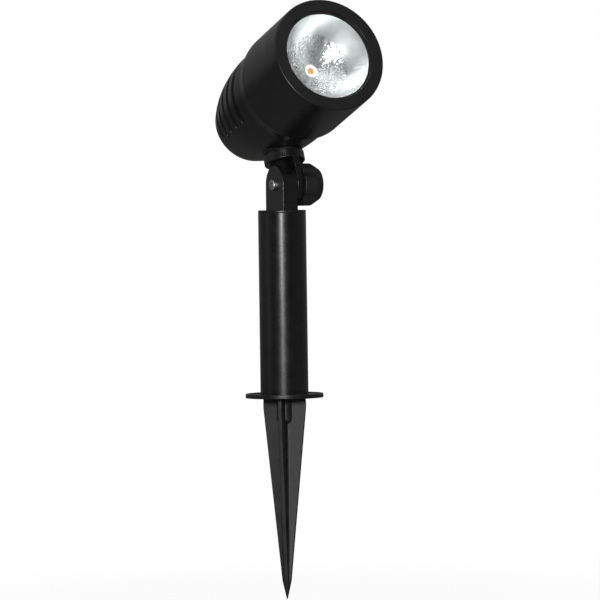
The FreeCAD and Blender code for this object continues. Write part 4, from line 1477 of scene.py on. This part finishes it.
    def build(self, frames: Frames) -> None:
        """Builds and dresses the housing, and dresses what it holds.

        Args:
            frames: the model's frames.
        """
        housing = mesh_object("finned_housing", [self.shell(frames.lamp)])
        combine(housing, [self.boss(frames)], Join.ADD)
        combine(housing, [self.seat_cut(frames)], Join.CUT)
        deliver(housing, Stock.POWDER_COAT, "head", "black_paint", "rear_housing")
        dress_nodes({"housing_seal": Stock.RUBBER, "driver_posts": Stock.BRASS,
                     "driver_board": Stock.GREEN_MASK, "driver_coil": Stock.COPPER,
                     "driver_capacitor": Stock.CAN_SLEEVE, "gland_seal": Stock.RUBBER})


@dataclass(frozen=True)
class CableGland:
    """The cable gland in the housing's rear end: a hexagon collar and a ribbed domed nut."""

    thread_d: float = 10.0
    wall: float = LampRear.end_wall
    collar_d: float = 14.5
    collar: float = 3.0
    sleeve_d: float = 9.0
    hole_d: float = 6.0
    seal_d: float = 8.4
    nut: float = 8.0
    nut_end_d: float = 11.0
    ribs: int = 12
    rib_depth: float = 0.45
    rib_inset: float = 0.6
    collar_round: float = 0.4
    foot_round: float = 0.5
    dome_round: float = 2.5
    tip_round: float = 1.0
    mouth_round: float = 0.2

    def hexagonal(self, radius: Array, height: Array, angle: Array) -> Array:
        """Radius held inside a hexagon whose corners lie on the collar's circle.

        Args:
            radius: grid of radii in millimetres.
            height: grid of heights along the axis; not used here.
            angle: grid of angles round the axis.

        Returns:
            The new grid of radii.
        """
        flat = self.collar_d / 2 * math.cos(math.pi / 6)
        off = (angle + math.pi / 6) % (math.pi / 3) - math.pi / 6
        return np.minimum(radius, flat / np.cos(off))

    def ribbed(self, radius: Array, height: Array, angle: Array) -> Array:
        """Radius with shallow ribs on the nut's outside.

        Args:
            radius: grid of radii in millimetres.
            height: grid of heights along the axis; not used here.
            angle: grid of angles round the axis.

        Returns:
            The new grid of radii.
        """
        outside = radius > self.sleeve_d / 2 + self.rib_inset
        ribs = self.rib_depth * (0.5 - 0.5 * np.cos(self.ribs * angle)) ** 2
        return np.where(outside, radius - ribs, radius)

    def build(self, frames: Frames) -> None:
        """Builds and dresses the gland's body and nut.

        Args:
            frames: the model's frames.
        """
        hole, sleeve, collar = self.hole_d / 2, self.sleeve_d / 2, self.collar_d / 2
        thread, seal, tip = self.thread_d / 2, self.seal_d / 2, self.nut_end_d / 2
        half, top = self.collar + self.nut / 2, self.collar + self.nut
        body = [(hole, -self.wall), (thread, -self.wall), (thread, 0), (collar, 0, self.collar_round),
                (collar, self.collar, self.collar_round), (sleeve, self.collar), (sleeve, half), (hole, half)]
        nut = [(sleeve, self.collar), (collar, self.collar, self.foot_round), (collar, half, self.dome_round),
               (tip, top, self.tip_round), (seal, top, self.mouth_round), (seal, half), (sleeve, half)]
        for name, node, section, columns, shape in (("gland_collar", "gland_body", body, 120, self.hexagonal),
                                                    ("gland_cap_nut", "gland_nut", nut, 144, self.ribbed)):
            surface = turned(rounded(section, closed=True), frames.gland, columns, shape)
            deliver(mesh_object(name, [surface]), Stock.KNOB_PLASTIC, "head", "knob_black", node)


# ---------------------------------------------------------------- studio
@dataclass(frozen=True)
class SoftLight:
    """An area light: its shape, its size in metres, its power and its (front, right, up) place in metres."""

    name: str
    shape: str
    size: tuple[float, float]
    watts: float
    place: tuple[float, float, float]


@dataclass(frozen=True)
class Studio:
    """Pale floor and backdrop, soft light and the camera at the photograph's angle.

    Places are (front, right, up) in metres from the flange's centre, with front towards the camera. Round the
    key light the surround is a dark room, so that the reflector shows a dark ring about the light's image.
    """

    azimuth_degrees: float = 26.3
    distance: float = 3.3
    camera_height: float = 0.155
    aim_height: float = 0.065
    aim_right: float = 0.0112
    roll_degrees: float = 0.8
    lens: float = 297.0
    sensor: float = 36.0
    soft_lights: tuple[SoftLight, ...] = (
        SoftLight("key", "ELLIPSE", (0.24, 0.3), 34.0, (1.7, -0.1, 0.33)),
        SoftLight("overhead", "RECTANGLE", (1.8, 1.8), 12.0, (0.5, 0.1, 1.6)),
        SoftLight("left_softbox", "RECTANGLE", (0.9, 1.2), 1.4, (0.5, -1.9, 0.5)))
    lit_height: float = 0.08
    floor_height: float = -0.1355
    floor_radius: float = 6.0
    floor_rings: int = 13
    floor_spokes: int = 97
    floor_fade: tuple[float, float] = (0.15, 0.4)
    floor_glow: float = 0.96
    floor_colour: str = "#868684"
    surround_colour: str = "#ffffff"
    ambient: float = 0.3
    dark_centre: tuple[float, float, float] = (1.7, 0.0, 0.33)
    dark_cosines: tuple[float, float] = (0.36, 0.84)
    dark_share: float = 0.03

    def spot(self, front: float, right: float, up: float) -> Array:
        """A place in the row frame, from its distances in front, to the right and up.

        Args:
            front: level distance towards the camera, in metres.
            right: level distance to the right in the picture.
            up: height.

        Returns:
            The point, in metres.
        """
        turn = math.radians(self.azimuth_degrees)
        forward = np.array([-math.sin(turn), -math.cos(turn), 0.0])
        sideways = np.array([math.cos(turn), -math.sin(turn), 0.0])
        return front * forward + right * sideways + [0, 0, up]

    def aimed(self, obj: bpy.types.Object, spot: Array, target: Array, roll: float = 0.0) -> None:
        """Puts an object at spot with its -Z axis through target and its Y axis up, rolled by radians.

        Args:
            obj: a camera or light.
            spot: where it stands.
            target: the point it looks at.
            roll: turn about its own line of sight.
        """
        out = spot - target
        out = out / np.linalg.norm(out)
        right = np.cross([0.0, 0.0, 1.0], out)
        right = right / np.linalg.norm(right)
        up = np.cross(out, right)
        matrix = np.eye(4)
        matrix[:3, 0] = math.cos(roll) * right - math.sin(roll) * up
        matrix[:3, 1] = math.cos(roll) * up + math.sin(roll) * right
        matrix[:3, 2], matrix[:3, 3] = out, spot
        obj.matrix_world = Matrix(matrix.tolist())
        bpy.context.scene.collection.objects.link(obj)

    def camera(self) -> None:
        """The camera, with the object's top leaning slightly left as in the photograph."""
        data = bpy.data.cameras.new("camera")
        data.lens, data.sensor_width = self.lens, self.sensor
        camera = bpy.data.objects.new("camera", data)
        self.aimed(camera, self.spot(self.distance, self.aim_right, self.camera_height),
                   self.spot(0.0, self.aim_right, self.aim_height), math.radians(self.roll_degrees))
        bpy.context.scene.camera = camera

    def lights(self) -> None:
        """A round key light over the camera, a large soft light overhead and a weak one on the left."""
        for light in self.soft_lights:
            data = bpy.data.lights.new(light.name, "AREA")
            data.shape, data.energy = light.shape, light.watts
            data.size, data.size_y = light.size
            lamp = bpy.data.objects.new(light.name, data)
            lamp.visible_camera = False
            self.aimed(lamp, self.spot(*light.place), self.spot(0.0, 0.0, self.lit_height))

    def room(self, tree: bpy.types.NodeTree, direction: bpy.types.NodeSocket) -> bpy.types.NodeSocket:
        """Brightness of the surround by direction: 1, and dark round the key light.

        Args:
            tree: the floor's or the world's node tree.
            direction: a unit vector from the object.

        Returns:
            A socket with the brightness, by smoothstep over the cosine of the angle from the key light.
        """
        centre = self.spot(*self.dark_centre)
        facing = add(tree, "VectorMath", {"operation": "DOT_PRODUCT"}, {0: direction})
        facing.inputs[1].default_value = tuple(centre / np.linalg.norm(centre))
        return fade(tree, facing.outputs["Value"], self.dark_cosines, (1.0, self.dark_share))

    def floor_paint(self) -> bpy.types.Material:
        """Pale matt paint that fades into the white surround where the camera or the glass looks at it.

        Returns:
            The floor's material.
        """
        material = bpy.data.materials.new("pale_painted_floor")
        material.use_nodes = True
        tree = material.node_tree
        tree.nodes.clear()
        rays = add(tree, "LightPath")
        place = add(tree, "TexCoord")
        unit = add(tree, "VectorMath", {"operation": "NORMALIZE"}, {0: place.outputs["Object"]})
        strength = add(tree, "Math", {"operation": "MAXIMUM"}, {0: rays.outputs["Is Camera Ray"],
                                                                1: self.room(tree, unit.outputs["Vector"])})
        paint = add(tree, "BsdfDiffuse", {"Color": linear(self.floor_colour)})
        glow = add(tree, "Emission", {"Color": linear(self.surround_colour)},
                   {"Strength": strength.outputs[0]})
        away = add(tree, "VectorMath", {"operation": "LENGTH"}, {"Vector": place.outputs["Object"]})
        white = fade(tree, away.outputs["Value"], self.floor_fade, (self.floor_glow, 1.0))
        seen = add(tree, "Math", {"operation": "MAXIMUM"}, {0: rays.outputs["Is Camera Ray"],
                                                            1: rays.outputs["Is Transmission Ray"]})
        share = add(tree, "Math", {"operation": "MULTIPLY"}, {0: seen.outputs[0], 1: white})
        mixed = add(tree, "MixShader", {}, {"Fac": share.outputs[0], 1: paint.outputs[0], 2: glow.outputs[0]})
        add(tree, "OutputMaterial", {}, {"Surface": mixed.outputs[0]})
        return material

    def floor(self) -> None:
        """Flat disc under the spike's point that keeps the object's shadow."""
        angle = np.linspace(0, 2 * math.pi, self.floor_spokes)
        radius = np.linspace(0, self.floor_radius, self.floor_rings)[:, None]
        height = np.full((self.floor_rings, self.floor_spokes), self.floor_height)
        rings = np.stack([radius * np.cos(angle), radius * np.sin(angle), height], axis=-1)
        floor = mesh_object("floor", [rings])
        floor.data.materials.append(self.floor_paint())

    def world(self) -> None:
        """White surround for the camera; for all else a softer one, with a dark room behind the key light."""
        world = bpy.data.worlds.new("surround")
        world.use_nodes = True
        bpy.context.scene.world = world
        tree = world.node_tree
        tree.nodes.clear()
        rays = add(tree, "LightPath")
        place = add(tree, "TexCoord")
        share = add(tree, "MapRange", {"To Min": self.ambient, "To Max": 1.0},
                    {"Value": rays.outputs["Is Transmission Ray"]})
        level = add(tree, "Math", {"operation": "MULTIPLY"},
                    {0: share.outputs["Result"], 1: self.room(tree, place.outputs["Generated"])})
        strength = add(tree, "Math", {"operation": "MAXIMUM"}, {0: level.outputs[0],
                                                                1: rays.outputs["Is Camera Ray"]})
        light = add(tree, "Background", {"Color": linear(self.surround_colour)},
                    {"Strength": strength.outputs[0]})
        add(tree, "OutputWorld", {}, {"Surface": light.outputs[0]})

    def build(self) -> None:
        """Sets up the camera, the lights, the floor and the surround."""
        self.camera()
        self.lights()
        self.floor()
        self.world()
        bpy.context.scene.view_settings.view_transform = "Standard"


def main() -> None:
    """Builds the studio and every part of the light, in order."""
    logging.basicConfig(level=logging.INFO, format="%(name)s: %(message)s")
    frames = Frames()
    Studio().build()
    for part in (GroundPart(), PolePart(), PivotPart(), ArmPart(), ClampPart(), LampFront(), LampRear(),
                 CableGland()):
        part.build(frames)
        LOG.info("finished %s", type(part).__name__)


if __name__ == "__main__":
    main()
